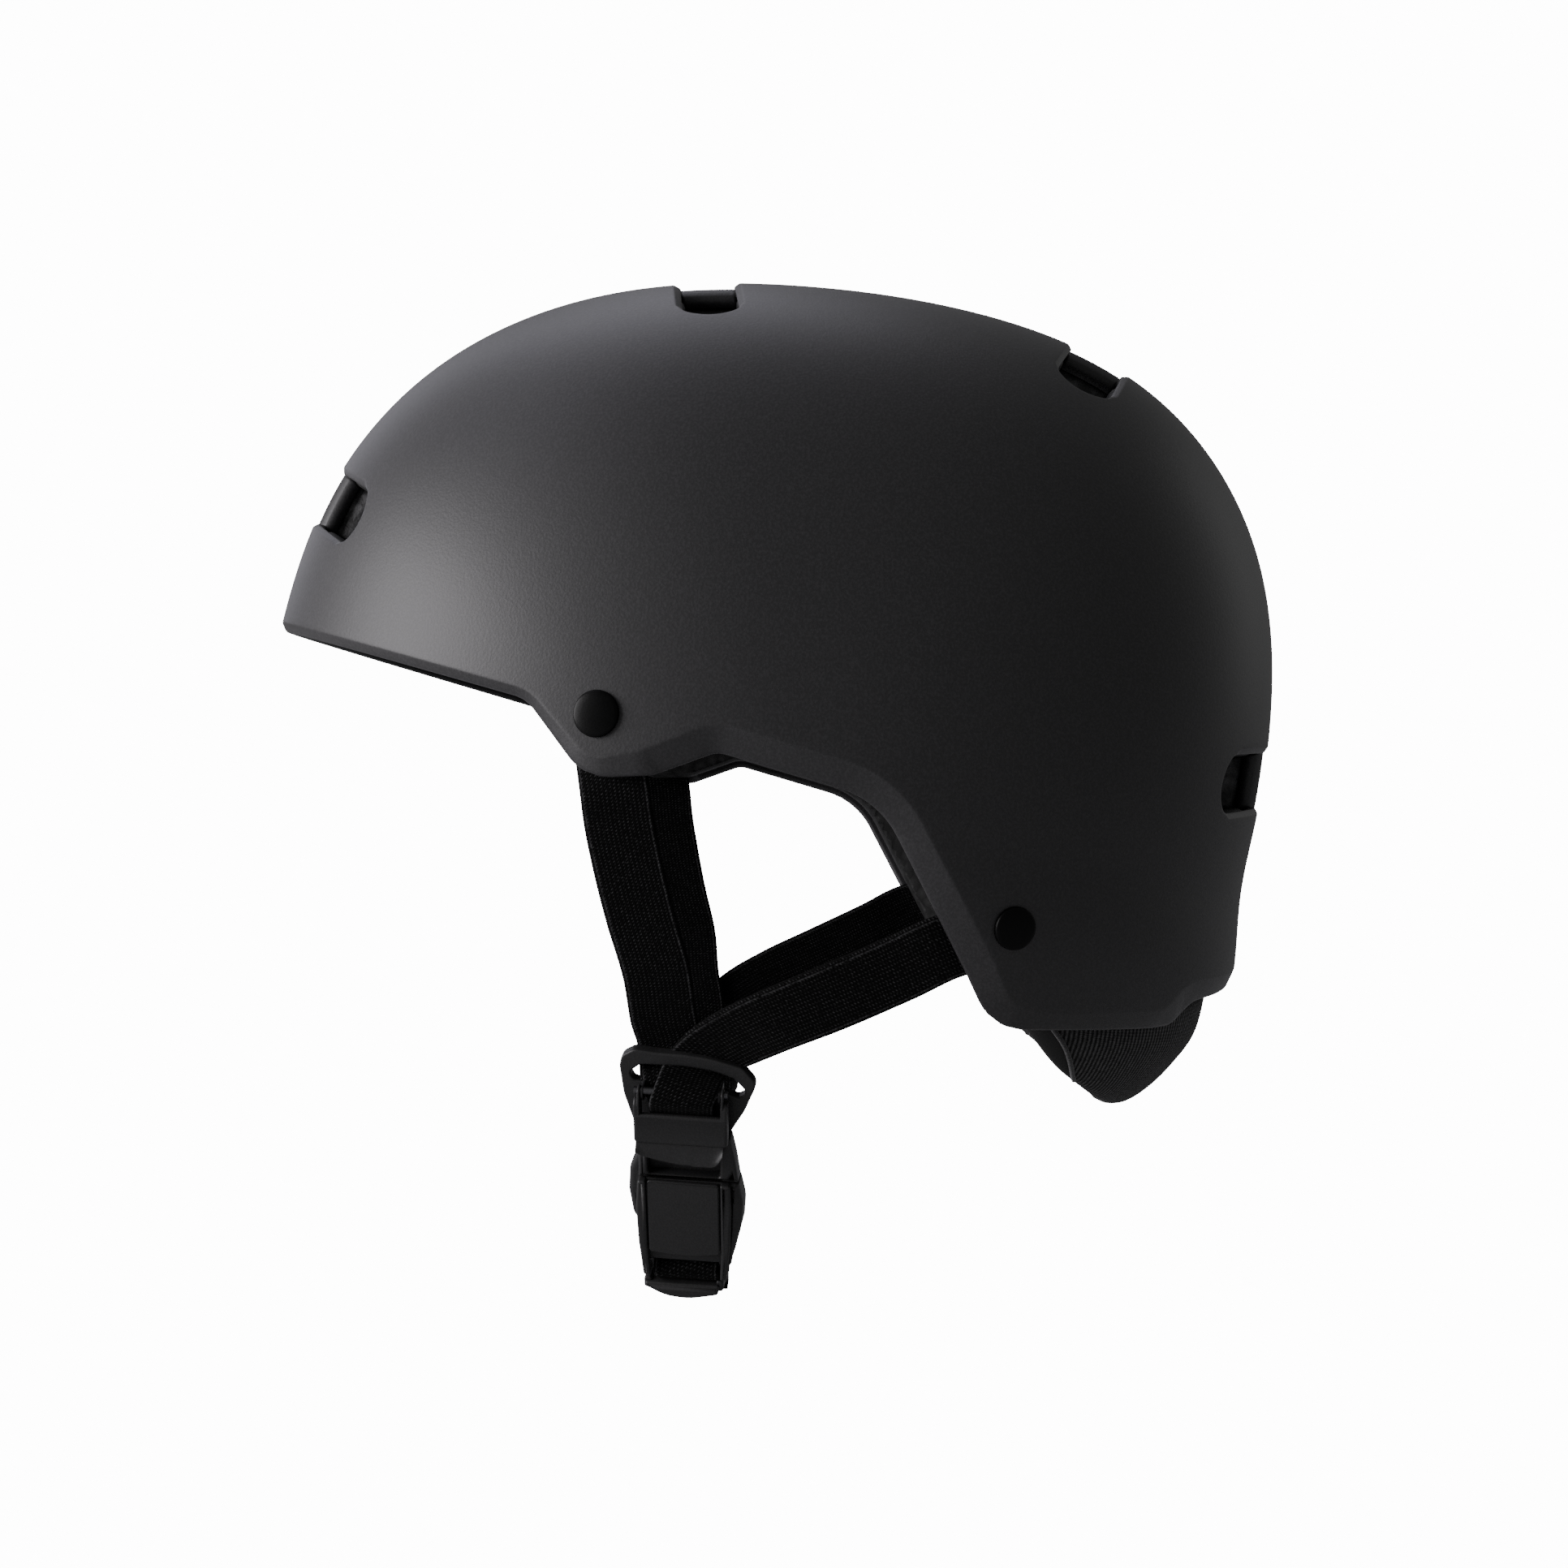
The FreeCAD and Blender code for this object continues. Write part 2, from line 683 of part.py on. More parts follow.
def ribbon(stations, thickness):
    """Flat strap lofted through stations: point, width direction, normal."""
    sections = []
    for point, across, normal in stations:
        a = across * (WEB / 2)
        n = normal * (thickness / 2)
        corners = [point - a - n, point + a - n, point + a + n, point - a + n]
        sections.append(Part.makePolygon(corners + corners[:1]))
    return Part.makeLoft(sections, True, True)


def chin_line():
    """Middle line of the chin strap, from the tongue to the right divider."""
    y, z = INNER_BAR
    start = world_point(0, y - 2.3, z)
    low = world_point(0, y - 5.0, z - 4.0)
    right_low = mirror_point(world_point(0, -53.0, 0))
    right_top = mirror_point(world_point(0, -3.4, 0))
    middle = Vec(0, -32.0, CHIN_LOW)
    return [
        start,
        low,
        Vec(31.0, -31.4, -129.0),
        Vec(14.0, -31.8, -134.3),
        middle,
        Vec(-14.0, -31.8, -134.6),
        Vec(-31.0, -31.4, -130.0),
        Vec(-42.5, -31.2, -124.5),
        right_low,
        right_top,
    ]


def mirror_point(point):
    return Vec(-point.x, point.y, point.z)


def chin_strap():
    points = chin_line()
    left_across = BACK
    right_across = mirror_point(BACK)
    stations = []
    for i, point in enumerate(points):
        if i == 0:
            tangent = points[1] - point
        elif i == len(points) - 1:
            tangent = point - points[-2]
        else:
            ahead = points[i + 1] - point
            behind = point - points[i - 1]
            ahead.normalize()
            behind.normalize()
            tangent = ahead + behind
        share = min(1.0, max(0.0, (i - 1) / 6.0))
        across = left_across * (1 - share) + right_across * share
        tangent.normalize()
        normal = tangent.cross(across)
        normal.normalize()
        across = normal.cross(tangent)
        stations.append((point, across, normal))
    strip = ribbon(stations, WEB_THICK)
    y, z = INNER_BAR
    half = WEB / 2
    inside = INNER_BAR_R + CLEAR
    loop = to_world(cylinder(inside + WEB_THICK, Vec(-half, y, z), Vec(half, y, z)))
    hole = to_world(cylinder(inside, Vec(-half - 3, y, z), Vec(half + 3, y, z)))
    return fuse([strip, loop]).cut(hole)


def strap_keeper():
    """Elastic ring that holds the strap end down on the chin strap."""
    outer = box(-6.0, 6.0, -42.5, -21.2, CHIN_LOW - 2.6, CHIN_LOW + 3.2)
    inner = box(-8.0, 8.0, -41.4, -22.3, CHIN_LOW - 1.5, CHIN_LOW + 2.1)
    return outer.cut(inner)


def right_front_strap():
    leg = plate(FRONT_EDGE[:4] + FRONT_BACK[1:], -1.6, -0.1)
    return mirrored(to_world(leg.common(hinge_region(False))))


# ---------------------------------------------------------------- build
os.makedirs("parts", exist_ok=True)

save(outer_shell(), "outer_shell")
save(impact_liner(), "impact_liner")
pads()
save(hook_patches(), "hook_patches")
save(neck_pad(), "neck_pad")
save(neck_tape(), "neck_tape")

for end in RIVETS:
    cap = rivet(end)
    nut = rivet_nut(end)
    anchor = strap_anchor(end)
    for side in SIDES:
        save(on_side(cap, side), "rivet_" + end + "_" + side)
        save(on_side(nut, side), "rivet_nut_" + end + "_" + side)
        save(on_side(anchor, side), "strap_anchor_" + end + "_" + side)

for side in SIDES:
    save(on_side(rear_strap(), side), "rear_strap_" + side)
    save(on_side(divider(), side), "divider_" + side)
    save(on_side(cam_pin(), side), "cam_pin_" + side)
    save(on_side(cam_flap(), side), "cam_flap_" + side)

save(front_strap_left(), "front_strap_left")
save(right_front_strap(), "front_strap_right")
save(buckle_body(), "buckle_body")
save(body_magnet(), "body_magnet")
save(buckle_release(), "buckle_release")
save(release_spring(), "release_spring")
save(buckle_tongue(), "buckle_tongue")
save(tongue_magnet(), "tongue_magnet")
save(chin_strap(), "chin_strap")
save(strap_keeper(), "strap_keeper")
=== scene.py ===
import bmesh
import bpy
import json
import math
import numpy as np
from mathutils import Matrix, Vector
from mathutils.geometry import tessellate_polygon

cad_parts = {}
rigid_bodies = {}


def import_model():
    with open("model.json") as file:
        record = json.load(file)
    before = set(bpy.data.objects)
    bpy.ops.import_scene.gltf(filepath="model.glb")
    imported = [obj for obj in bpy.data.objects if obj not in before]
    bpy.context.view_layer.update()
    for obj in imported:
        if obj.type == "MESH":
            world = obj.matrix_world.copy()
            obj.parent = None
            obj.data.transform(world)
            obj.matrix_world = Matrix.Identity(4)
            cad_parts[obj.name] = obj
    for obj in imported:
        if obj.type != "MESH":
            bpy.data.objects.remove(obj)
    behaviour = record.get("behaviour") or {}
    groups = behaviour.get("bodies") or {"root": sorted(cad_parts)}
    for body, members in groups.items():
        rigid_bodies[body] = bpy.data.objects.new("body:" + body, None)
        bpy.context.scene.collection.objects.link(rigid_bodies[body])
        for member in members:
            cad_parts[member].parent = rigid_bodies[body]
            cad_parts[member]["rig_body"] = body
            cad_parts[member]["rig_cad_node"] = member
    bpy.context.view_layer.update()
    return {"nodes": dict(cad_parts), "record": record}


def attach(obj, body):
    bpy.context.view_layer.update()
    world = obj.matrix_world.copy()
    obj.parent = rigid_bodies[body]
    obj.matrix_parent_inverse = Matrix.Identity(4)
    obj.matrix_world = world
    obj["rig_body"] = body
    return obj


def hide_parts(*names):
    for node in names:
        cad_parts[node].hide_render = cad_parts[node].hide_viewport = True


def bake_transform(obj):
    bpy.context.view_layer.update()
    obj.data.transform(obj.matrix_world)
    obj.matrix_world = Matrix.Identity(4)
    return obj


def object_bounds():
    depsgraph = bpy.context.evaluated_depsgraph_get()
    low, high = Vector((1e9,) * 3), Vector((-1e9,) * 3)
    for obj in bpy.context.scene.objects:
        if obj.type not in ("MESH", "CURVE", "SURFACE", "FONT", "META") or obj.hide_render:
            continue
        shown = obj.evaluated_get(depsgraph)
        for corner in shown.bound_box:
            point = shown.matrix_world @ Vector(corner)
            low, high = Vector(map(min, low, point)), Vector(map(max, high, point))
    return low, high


# Looks of the water helmet. Metres. +X is the wearer's left, -Y the brow, +Z up.

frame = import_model()
NODES = frame["nodes"]


# ---------------------------------------------------------------- the dome, as in the CAD source
HALF_WIDTH = 0.112
SHELL = 0.0032
LINER_OUT = 0.0043
LINER_IN = 0.0184
# Direction in degrees, radius of the arch across the head there, and how much fuller than round it is.
ARCHES = np.array([
    (-30, 0.1650, 0.00),
    (-10, 0.1630, 0.00),
    (5, 0.1610, 0.00),
    (20, 0.1625, 0.00),
    (35, 0.1685, 0.03),
    (50, 0.1705, 0.06),
    (70, 0.1640, 0.12),
    (90, 0.1565, 0.14),
    (110, 0.1575, 0.14),
    (130, 0.1620, 0.12),
    (150, 0.1550, 0.10),
    (165, 0.1435, 0.08),
    (180, 0.1340, 0.06),
    (190, 0.1315, 0.04),
    (200, 0.1355, 0.03),
    (215, 0.1390, 0.00),
    (240, 0.1400, 0.00),
])
# Lower edge of the shell in Y, Z with corner radius.
RIM = [
    (-0.190, 0.0666, 0),
    (-0.0695, 0.0316, 0.009),
    (-0.054, 0.0113, 0.013),
    (-0.037, 0.0119, 0.010),
    (-0.0204, 0.0178, 0.007),
    (0.0197, 0.0059, 0.024),
    (0.0425, -0.0386, 0.040),
    (0.0492, -0.0528, 0.014),
    (0.100, -0.0556, 0.008),
    (0.1075, -0.0492, 0.008),
    (0.190, -0.0435, 0),
]
# Width of the sloping band above the lower edge, at places along it.
RIM_BAND = [
    (-0.150, 0.055, 0.0023),
    (-0.0695, 0.0316, 0.0023),
    (-0.056, 0.014, 0.0036),
    (-0.037, 0.0119, 0.0066),
    (-0.0204, 0.0178, 0.0070),
    (0.0197, 0.0059, 0.0068),
    (0.0425, -0.0386, 0.0076),
    (0.0492, -0.0528, 0.0068),
    (0.066, -0.0537, 0.0046),
    (0.092, -0.0552, 0.0050),
    (0.1075, -0.0492, 0.0062),
    (0.120, -0.0480, 0.0054),
    (0.150, -0.0463, 0.0052),
]
# Slot vents: direction in degrees, half height, corner reach, middle reach, depth of the spine's top.
VENTS = [
    (34.5, 0.0080, 0.0546, 0.0580, 0.0003),
    (80.2, 0.0077, 0.0572, 0.0603, 0.0003),
    (123.0, 0.0082, 0.0580, 0.0620, 0.0003),
    (175.0, 0.0078, 0.0605, 0.0645, 0.0001),
]


def natural_spline(xs, ys):
    """Smooth curve through points, as a function that takes arrays."""
    n = len(xs)
    step = np.diff(xs)
    slope = np.diff(ys) / step
    a = np.eye(n)
    b = np.zeros(n)
    for i in range(1, n - 1):
        a[i, i - 1:i + 2] = step[i - 1], 2 * (step[i - 1] + step[i]), step[i]
        b[i] = 6 * (slope[i] - slope[i - 1])
    bend = np.linalg.solve(a, b)

    def value(x):
        i = np.clip(np.searchsorted(xs, x) - 1, 0, n - 2)
        right = (x - xs[i]) / step[i]
        left = 1 - right
        curve = (left ** 3 - left) * bend[i] + (right ** 3 - right) * bend[i + 1]
        return left * ys[i] + right * ys[i + 1] + curve * step[i] ** 2 / 6

    return value


def unit(vectors):
    return vectors / np.linalg.norm(vectors, axis=-1, keepdims=True)


RADIUS_AT = natural_spline(ARCHES[:, 0], ARCHES[:, 1])
FULLNESS_AT = natural_spline(ARCHES[:, 0], ARCHES[:, 2])


def dome(direction, across, depth):
    """Points on the dome: direction from the brow over the crown, angle across, depth below the surface."""
    a = np.radians(direction)
    t = np.radians(across)
    reach = (RADIUS_AT(direction) - depth) * np.cos(t) * (1 + FULLNESS_AT(direction) * np.sin(t) ** 2)
    return np.stack([(HALF_WIDTH - depth) * np.sin(t), -reach * np.cos(a), reach * np.sin(a)], -1)


def dome_normal(direction, across):
    d = 0.5                 # degrees
    along = dome(direction + d, across, 0) - dome(direction - d, across, 0)
    over = dome(direction, across + d, 0) - dome(direction, across - d, 0)
    normal = unit(np.cross(over, along))
    return normal * np.sign(np.sum(normal * dome(direction, across, 0), -1, keepdims=True))


NEARLY_STRAIGHT = math.radians(89.5)    # half the angle of a corner that needs no arc


def rounded(corners, closed=True, steps=8, limit=0.48):
    """Outline through corners (x, y, radius) with arcs, kept within a share of the edges beside them."""
    count = len(corners)
    result = []
    for i, (x, y, radius) in enumerate(corners):
        point = np.array((x, y))
        if radius == 0 or (not closed and i in (0, count - 1)):
            result.append(point)
            continue
        before = np.array(corners[i - 1][:2]) - point
        after = np.array(corners[(i + 1) % count][:2]) - point
        room = limit * min(np.linalg.norm(before), np.linalg.norm(after))
        before = unit(before)
        after = unit(after)
        half = math.acos(np.clip(before @ after, -1, 1)) / 2
        if half > NEARLY_STRAIGHT:
            result.append(point)
            continue
        radius = min(radius, room * math.tan(half))
        centre = unit(before + after) * radius / math.sin(half) + point
        start = point + before * radius / math.tan(half) - centre
        end = point + after * radius / math.tan(half) - centre
        for k in range(steps + 1):
            share = k / steps
            turn = math.pi - 2 * half
            arc = (start * math.sin((1 - share) * turn) + end * math.sin(share * turn)) / math.sin(turn)
            result.append(centre + arc)
    return np.array(result)


RIM_LINE = rounded(RIM, closed=False, limit=0.6)
RIM_LENGTH = np.concatenate([[0], np.cumsum(np.linalg.norm(np.diff(RIM_LINE, axis=0), axis=1))])


def rim_distance(points):
    """Height of points above the lower edge, and how far along the edge they are."""
    flat = points[..., 1:].reshape(-1, 2)
    a = RIM_LINE[:-1]
    run = np.diff(RIM_LINE, axis=0)
    length2 = np.sum(run ** 2, 1)
    share = np.clip(np.einsum("nmk,mk->nm", flat[:, None] - a, run) / length2, 0, 1)
    gap = np.linalg.norm(flat[:, None] - a - share[..., None] * run, axis=2)
    best = np.argmin(gap, 1)
    rows = np.arange(len(flat))
    sign = np.where(flat[:, 1] > np.interp(flat[:, 0], RIM_LINE[:, 0], RIM_LINE[:, 1]), 1, -1)
    along = RIM_LENGTH[best] + share[rows, best] * np.sqrt(length2[best])
    shape = points.shape[:-1]
    return (gap[rows, best] * sign).reshape(shape), along.reshape(shape)


BAND_ALONG = rim_distance(np.array([(0, y, z) for y, z, _ in RIM_BAND]))[1]
BAND_WIDTH = np.array([width for _, _, width in RIM_BAND])


def rim_field(points):
    """Height above the lower edge and width of the band there."""
    height, along = rim_distance(points)
    return height, np.interp(along, BAND_ALONG, BAND_WIDTH)


VENT_SOFT = 0.0003          # rounds a vent's corners
BEVEL_FADE = 0.0035         # length over which a vent's bevel narrows towards its ends
BEVEL_LEAST = 0.12          # share of the bevel that is left there


def vent_field(vent, inset, bevel):
    """Distance outside one slot vent and the width of its bevel."""
    direction, half, corner, reach, _ = vent
    a = math.radians(direction)
    along = np.array((0, math.sin(a), math.cos(a)))
    outward = np.array((0, -math.cos(a), math.sin(a)))
    bulge = reach - corner
    arc = (half ** 2 + bulge ** 2) / (2 * bulge)

    def field(points):
        s = points @ along
        x = np.abs(points[..., 0])
        side = np.abs(s) - (half - inset)
        end = np.hypot(np.maximum(x - (reach - arc), 0), s) - (arc - inset)
        distance = (side + end + np.sqrt((side - end) ** 2 + VENT_SOFT ** 2)) / 2
        distance = np.where(points @ outward > 0, distance, 1.0)
        fade = np.clip((corner - x) / BEVEL_FADE, 0, 1)
        fade = fade * fade * (3 - 2 * fade)
        return distance, bevel * (BEVEL_LEAST + (1 - BEVEL_LEAST) * fade)

    return field


# ---------------------------------------------------------------- dome layers with worked edges
DIRECTIONS = np.arange(6, 236, 0.85)            # degrees, from under the brow over to under the nape
ACROSS = np.arange(-89, 89.1, 1.0)
VENT_EDGES = np.arange(2.3, 4.3, 0.4)           # finer steps, counted from a vent's direction
VENT_ENDS = np.arange(25.25, 37.5, 0.5)         # angles across between which all vents end


def grid_lines():
    """Grid of directions and angles across, finer round the vents."""
    directions = [DIRECTIONS]
    for direction, _, _, _, _ in VENTS:
        directions += [direction - VENT_EDGES, direction + VENT_EDGES]
    return spread_out(directions, 0.2), spread_out([ACROSS, -VENT_ENDS, VENT_ENDS], 0.25)


def spread_out(groups, gap):
    """Sorted values of all groups; a value too close to one of a later, finer group goes."""
    kept = groups[0]
    for group in groups[1:]:
        near = np.abs(kept[:, None] - group[None]).min(1)
        kept = np.concatenate([kept[near > gap], group])
    return np.sort(kept)


WALK_ROUNDS = 4
WALK_LIMIT = 4              # degrees that one round may move a point


def walk(field, direction, across, depth, level):
    """Moves surface points straight up or down a field until it has the given level."""
    d = 0.02                # degrees
    for _ in range(WALK_ROUNDS):
        value = field(dome(direction, across, depth))[0]
        by_direction = (field(dome(direction + d, across, depth))[0] - value) / d
        by_across = (field(dome(direction, across + d, depth))[0] - value) / d
        here = dome(direction, across, depth)
        u = (dome(direction + d, across, depth) - here) / d
        v = (dome(direction, across + d, depth) - here) / d
        uu = np.sum(u * u, -1)
        uv = np.sum(u * v, -1)
        vv = np.sum(v * v, -1)
        det = uu * vv - uv ** 2
        up_direction = (vv * by_direction - uv * by_across) / det
        up_across = (uu * by_across - uv * by_direction) / det
        steep = by_direction * up_direction + by_across * up_across
        amount = (level - value) / np.maximum(steep, 1e-9)
        direction = direction + np.clip(amount * up_direction, -WALK_LIMIT, WALK_LIMIT)
        across = across + np.clip(amount * up_across, -WALK_LIMIT, WALK_LIMIT)
    return direction, across


BATCH = 12                  # grid rows worked at once, for memory
HALVINGS = 14               # rounds in the search for the place where a grid line is cut


def cut_grid(room):
    """Part of the grid where room is above zero, cut along its zero line: places and faces."""
    directions, acrosses = grid_lines()
    grid_d, grid_a = np.meshgrid(directions, acrosses, indexing="ij")
    batches = [slice(i, i + BATCH) for i in range(0, len(grid_d), BATCH)]
    value = np.concatenate([room(grid_d[batch], grid_a[batch]) for batch in batches])
    rows, columns = value.shape
    places = [np.stack([grid_d.ravel(), grid_a.ravel()], 1)]
    crossing = {}
    total = rows * columns
    for di, dj in ((1, 0), (0, 1)):
        low = value[:rows - di, :columns - dj]
        high = value[di:, dj:]
        i, j = np.nonzero((low > 0) != (high > 0))
        a = np.stack([grid_d[i, j], grid_a[i, j]], 1)
        b = np.stack([grid_d[i + di, j + dj], grid_a[i + di, j + dj]], 1)
        keep_a = low[i, j] > 0
        near = np.where(keep_a[:, None], a, b)
        far = np.where(keep_a[:, None], b, a)
        for _ in range(HALVINGS):
            middle = (near + far) / 2
            inside = room(middle[:, 0], middle[:, 1]) > 0
            near = np.where(inside[:, None], middle, near)
            far = np.where(inside[:, None], far, middle)
        for k in range(len(i)):
            crossing[(i[k], j[k], di)] = total + k
        total += len(i)
        places.append(near)
    places = np.concatenate(places)
    faces = []
    keep = value > 0
    for i in range(rows - 1):
        line = keep[i] | keep[i + 1]
        for j in np.nonzero(line[:-1] | line[1:])[0]:
            ring = [(i, j), (i + 1, j), (i + 1, j + 1), (i, j + 1)]
            face = []
            for p, q in zip(ring, ring[1:] + ring[:1]):
                if keep[p]:
                    face.append(p[0] * columns + p[1])
                if keep[p] != keep[q]:
                    face.append(crossing[(min(p[0], q[0]), min(p[1], q[1]), abs(p[0] - q[0]))])
            if len(face) >= 3:
                faces.append(face)
    used = np.unique(np.concatenate(faces))
    renumber = np.zeros(len(places), int)
    renumber[used] = np.arange(len(used))
    return places[used], [[int(renumber[v]) for v in face] for face in faces]


def border_loops(faces):
    """Rings of points round the borders of a surface, in the direction of its faces."""
    sides = dict.fromkeys((a, b) for face in faces for a, b in zip(face, face[1:] + face[:1]))
    after = {a: b for a, b in sides if (b, a) not in sides}
    loops = []
    while after:
        start = next(iter(after))
        loop = [start]
        step = after.pop(start)
        while step != start:
            loop.append(step)
            step = after.pop(step)
        loops.append(np.array(loop))
    return loops


def dome_layer(name, outer, inner, edges, reference):
    """Closed mesh between two depths of the dome.

    edges: list of (field, margin, rows). The layer stops where a field is less than its width
    plus the margin, and rows of (share of the width, extra, depth rule) work the edge from there
    round to the inner face."""
    def room(direction, across):
        points = dome(direction, across, reference)
        rooms = []
        for field, margin, _ in edges:
            value, width = field(points)
            rooms.append(value - width - margin)
        return np.min(rooms, 0)

    places, faces = cut_grid(room)
    points = [dome(places[:, 0], places[:, 1], outer), dome(places[:, 0], places[:, 1], inner)]
    twin = len(places)
    total = 2 * twin
    quads = [[twin + v for v in reversed(face)] for face in faces]
    for loop in border_loops(faces):
        place = places[loop]
        spots = dome(place[:, 0], place[:, 1], reference)
        gaps = []
        for field, margin, _ in edges:
            at, width = field(spots)
            gaps.append(np.mean(np.abs(at - width - margin)))
        field, margin, work = edges[int(np.argmin(gaps))]
        width = field(spots)[1]
        last = loop
        for share, extra, rule in work:
            level = share * width + extra
            depth = rule(width, level)
            d, a = walk(field, place[:, 0], place[:, 1], depth, level)
            points.append(dome(d, a, depth))
            row = total + np.arange(len(loop))
            total += len(loop)
            quads += ring_faces(last, row)
            last = row
        quads += ring_faces(last, loop + twin)
    return new_mesh(name, np.concatenate(points), faces + quads)


def ring_faces(last, row):
    """Faces between two rings of points."""
    return [
        [int(last[(k + 1) % len(row)]), int(last[k]), int(row[k]), int(row[(k + 1) % len(row)])]
        for k in range(len(row))
    ]


def tube_faces(rings, count, base=0):
    """Faces of a tube through rings of count points, with both ends closed."""
    faces = []
    for i in range(rings - 1):
        for j in range(count):
            a = base + i * count + j
            b = base + i * count + (j + 1) % count
            faces.append([a, b, b + count, a + count])
    for start in (base, base + (rings - 1) * count):
        faces.append([start + j for j in range(count)])
    return faces


def new_mesh(name, points, faces, uvs=None):
    mesh = bpy.data.meshes.new(name)
    mesh.from_pydata([tuple(p) for p in np.asarray(points, float)], [], faces)
    mesh.polygons.foreach_set("use_smooth", [True] * len(mesh.polygons))
    if uvs is not None:
        layer = mesh.uv_layers.new(name="along")
        loops = np.zeros(len(mesh.loops), int)
        mesh.loops.foreach_get("vertex_index", loops)
        layer.data.foreach_set("uv", np.asarray(uvs, float)[loops].ravel())
    piece = bpy.data.objects.new(name, mesh)
    bpy.context.scene.collection.objects.link(piece)
    return piece


def fix_normals(piece):
    """Turns all faces of a closed piece outward."""
    work = bmesh.new()
    work.from_mesh(piece.data)
    bmesh.ops.recalc_face_normals(work, faces=work.faces)
    work.to_mesh(piece.data)
    work.free()
    return piece


def soft_ramp(x, soft):
    """Zero below zero and x above it, with a soft bend between."""
    return (x + np.sqrt(x * x + soft * soft)) / 2


BAND_SLOPE = 0.52
STEEP_WIDTH = 0.0066        # the band slopes fully from this width on
FLAT_WIDTH = 0.0052
BROW_WIDTH = 0.0040         # the band turns into the steeper brow edge below this width
BROW_FULL = 0.0026
BROW_SLOPE = 0.75
LEAST_SHARE = 0.6           # of the slope, on middling stretches
BAND_SOFT = 0.00025         # rounds the upper line of the band
LIP = 0.0015


def band_slope(width):
    """Middling stretches of the band slope less than wide ones, the narrow brow edge the most."""
    sides = BAND_SLOPE * np.clip((width - FLAT_WIDTH) / (STEEP_WIDTH - FLAT_WIDTH), LEAST_SHARE, 1)
    brow = np.clip((BROW_WIDTH - width) / (BROW_WIDTH - BROW_FULL), 0, 1)
    return sides * (1 - brow) + BROW_SLOPE * brow


def band_depth(extra):
    """Depth of the sloping band, plus a part of the lip."""
    def rule(width, level):
        return band_slope(width) * soft_ramp(width - level, BAND_SOFT) + extra
    return rule


def lip_inside(width, level):
    """Depth at which the lip meets the inner face."""
    return np.maximum(SHELL, band_slope(width) * width + LIP)


# Share of the band's width, extra height and depth rule, from the surface round to the inner face.
RIM_ROWS = [
    (1, 0.0002, band_depth(0)),
    (1, 0, band_depth(0)),
    (1, -0.0002, band_depth(0)),
    (1, -0.0006, band_depth(0)),
    (0.5, 0, band_depth(0)),
    (0, 0.0008, band_depth(0)),
    (0, 0.0004, band_depth(0.00006)),
    (0, 0.00012, band_depth(0.0003)),
    (0, 0, band_depth(0.0007)),
    (0, 0.0001, band_depth(0.0011)),
    (0, 0.0005, lip_inside),
    (0, 0.0014, lip_inside),
]
BEVEL_SLOPE = 0.7
BEVEL_SOFT = 0.0002


def bevel_depth(extra):
    def rule(width, level):
        return BEVEL_SLOPE * soft_ramp(width - level, BEVEL_SOFT) + extra
    return rule


def even_depth(depth):
    def rule(width, level):
        return np.full_like(width, depth)
    return rule


VENT_ROWS = [
    (1, 0.0001, bevel_depth(0)),
    (1, -0.0001, bevel_depth(0)),
    (1, -0.0004, bevel_depth(0)),
    (0.4, 0, bevel_depth(0)),
    (0, 0.0001, bevel_depth(0)),
    (0, 0, bevel_depth(0.00012)),
    (0, 0, bevel_depth(0.0005)),
    (0, 0, even_depth(SHELL - 0.0003)),
    (0, 0.0002, even_depth(SHELL)),
]


BEVEL_WIDTH = 0.0016


def shell_skin():
    edges = [(rim_field, 0.0006, RIM_ROWS)]
    for vent in VENTS:
        edges.append((vent_field(vent, 0, BEVEL_WIDTH), 0.0004, VENT_ROWS))
    return dome_layer("shell_skin", 0.0, SHELL, edges, 0.0)


LINER_EDGE = 0.0022         # width of the foam's rounded edges
LINER_CUT = 0.011           # depth at which its outline is worked out


def flat_band(points):
    """Height above the lower edge, with the same width everywhere."""
    height, _ = rim_field(points)
    return height, np.full_like(height, LINER_EDGE)


# Share of the edge's width, extra and share of the way through the foam.
LINER_EDGE_STEPS = [
    (1, 0.0008, 0.02),
    (1, 0.0002, 0.09),
    (1, 0, 0.16),
    (1, 0, 0.5),
    (1, 0, 0.78),
    (1, 0.0004, 0.90),
    (1, 0.0014, 0.98),
]
LINER_ROWS = [
    (share, extra, even_depth(LINER_OUT + (LINER_IN - LINER_OUT) * through))
    for share, extra, through in LINER_EDGE_STEPS
]


def liner_foam():
    edges = [(flat_band, LINER_EDGE, LINER_ROWS)]
    for vent in VENTS:
        edges.append((vent_field(vent, 0.0004, 0.0001), LINER_EDGE, LINER_ROWS))
    return dome_layer("liner_foam", LINER_OUT, LINER_IN, edges, LINER_CUT)


def both_halves(half):
    """Closed profile of (across, depth) from the points of its right half, from the middle outward."""
    return [(-x, depth) for x, depth in reversed(half)] + half


SPINE_PROFILE = both_halves([
    (0.0071, 0.0), (0.0076, 0.00015), (0.0093, 0.0023), (0.0096, 0.0028), (0.0096, 0.0062)])
SPINE_TOP = 0.0020          # profile points above this depth follow the recess
FOAM_TOP = 0.0058
FOAM_PROFILE = both_halves([
    (0.0074, FOAM_TOP), (0.0084, FOAM_TOP + 0.0011), (0.0084, LINER_IN - 0.0011), (0.0074, LINER_IN)])
SPINE_STATIONS = 14


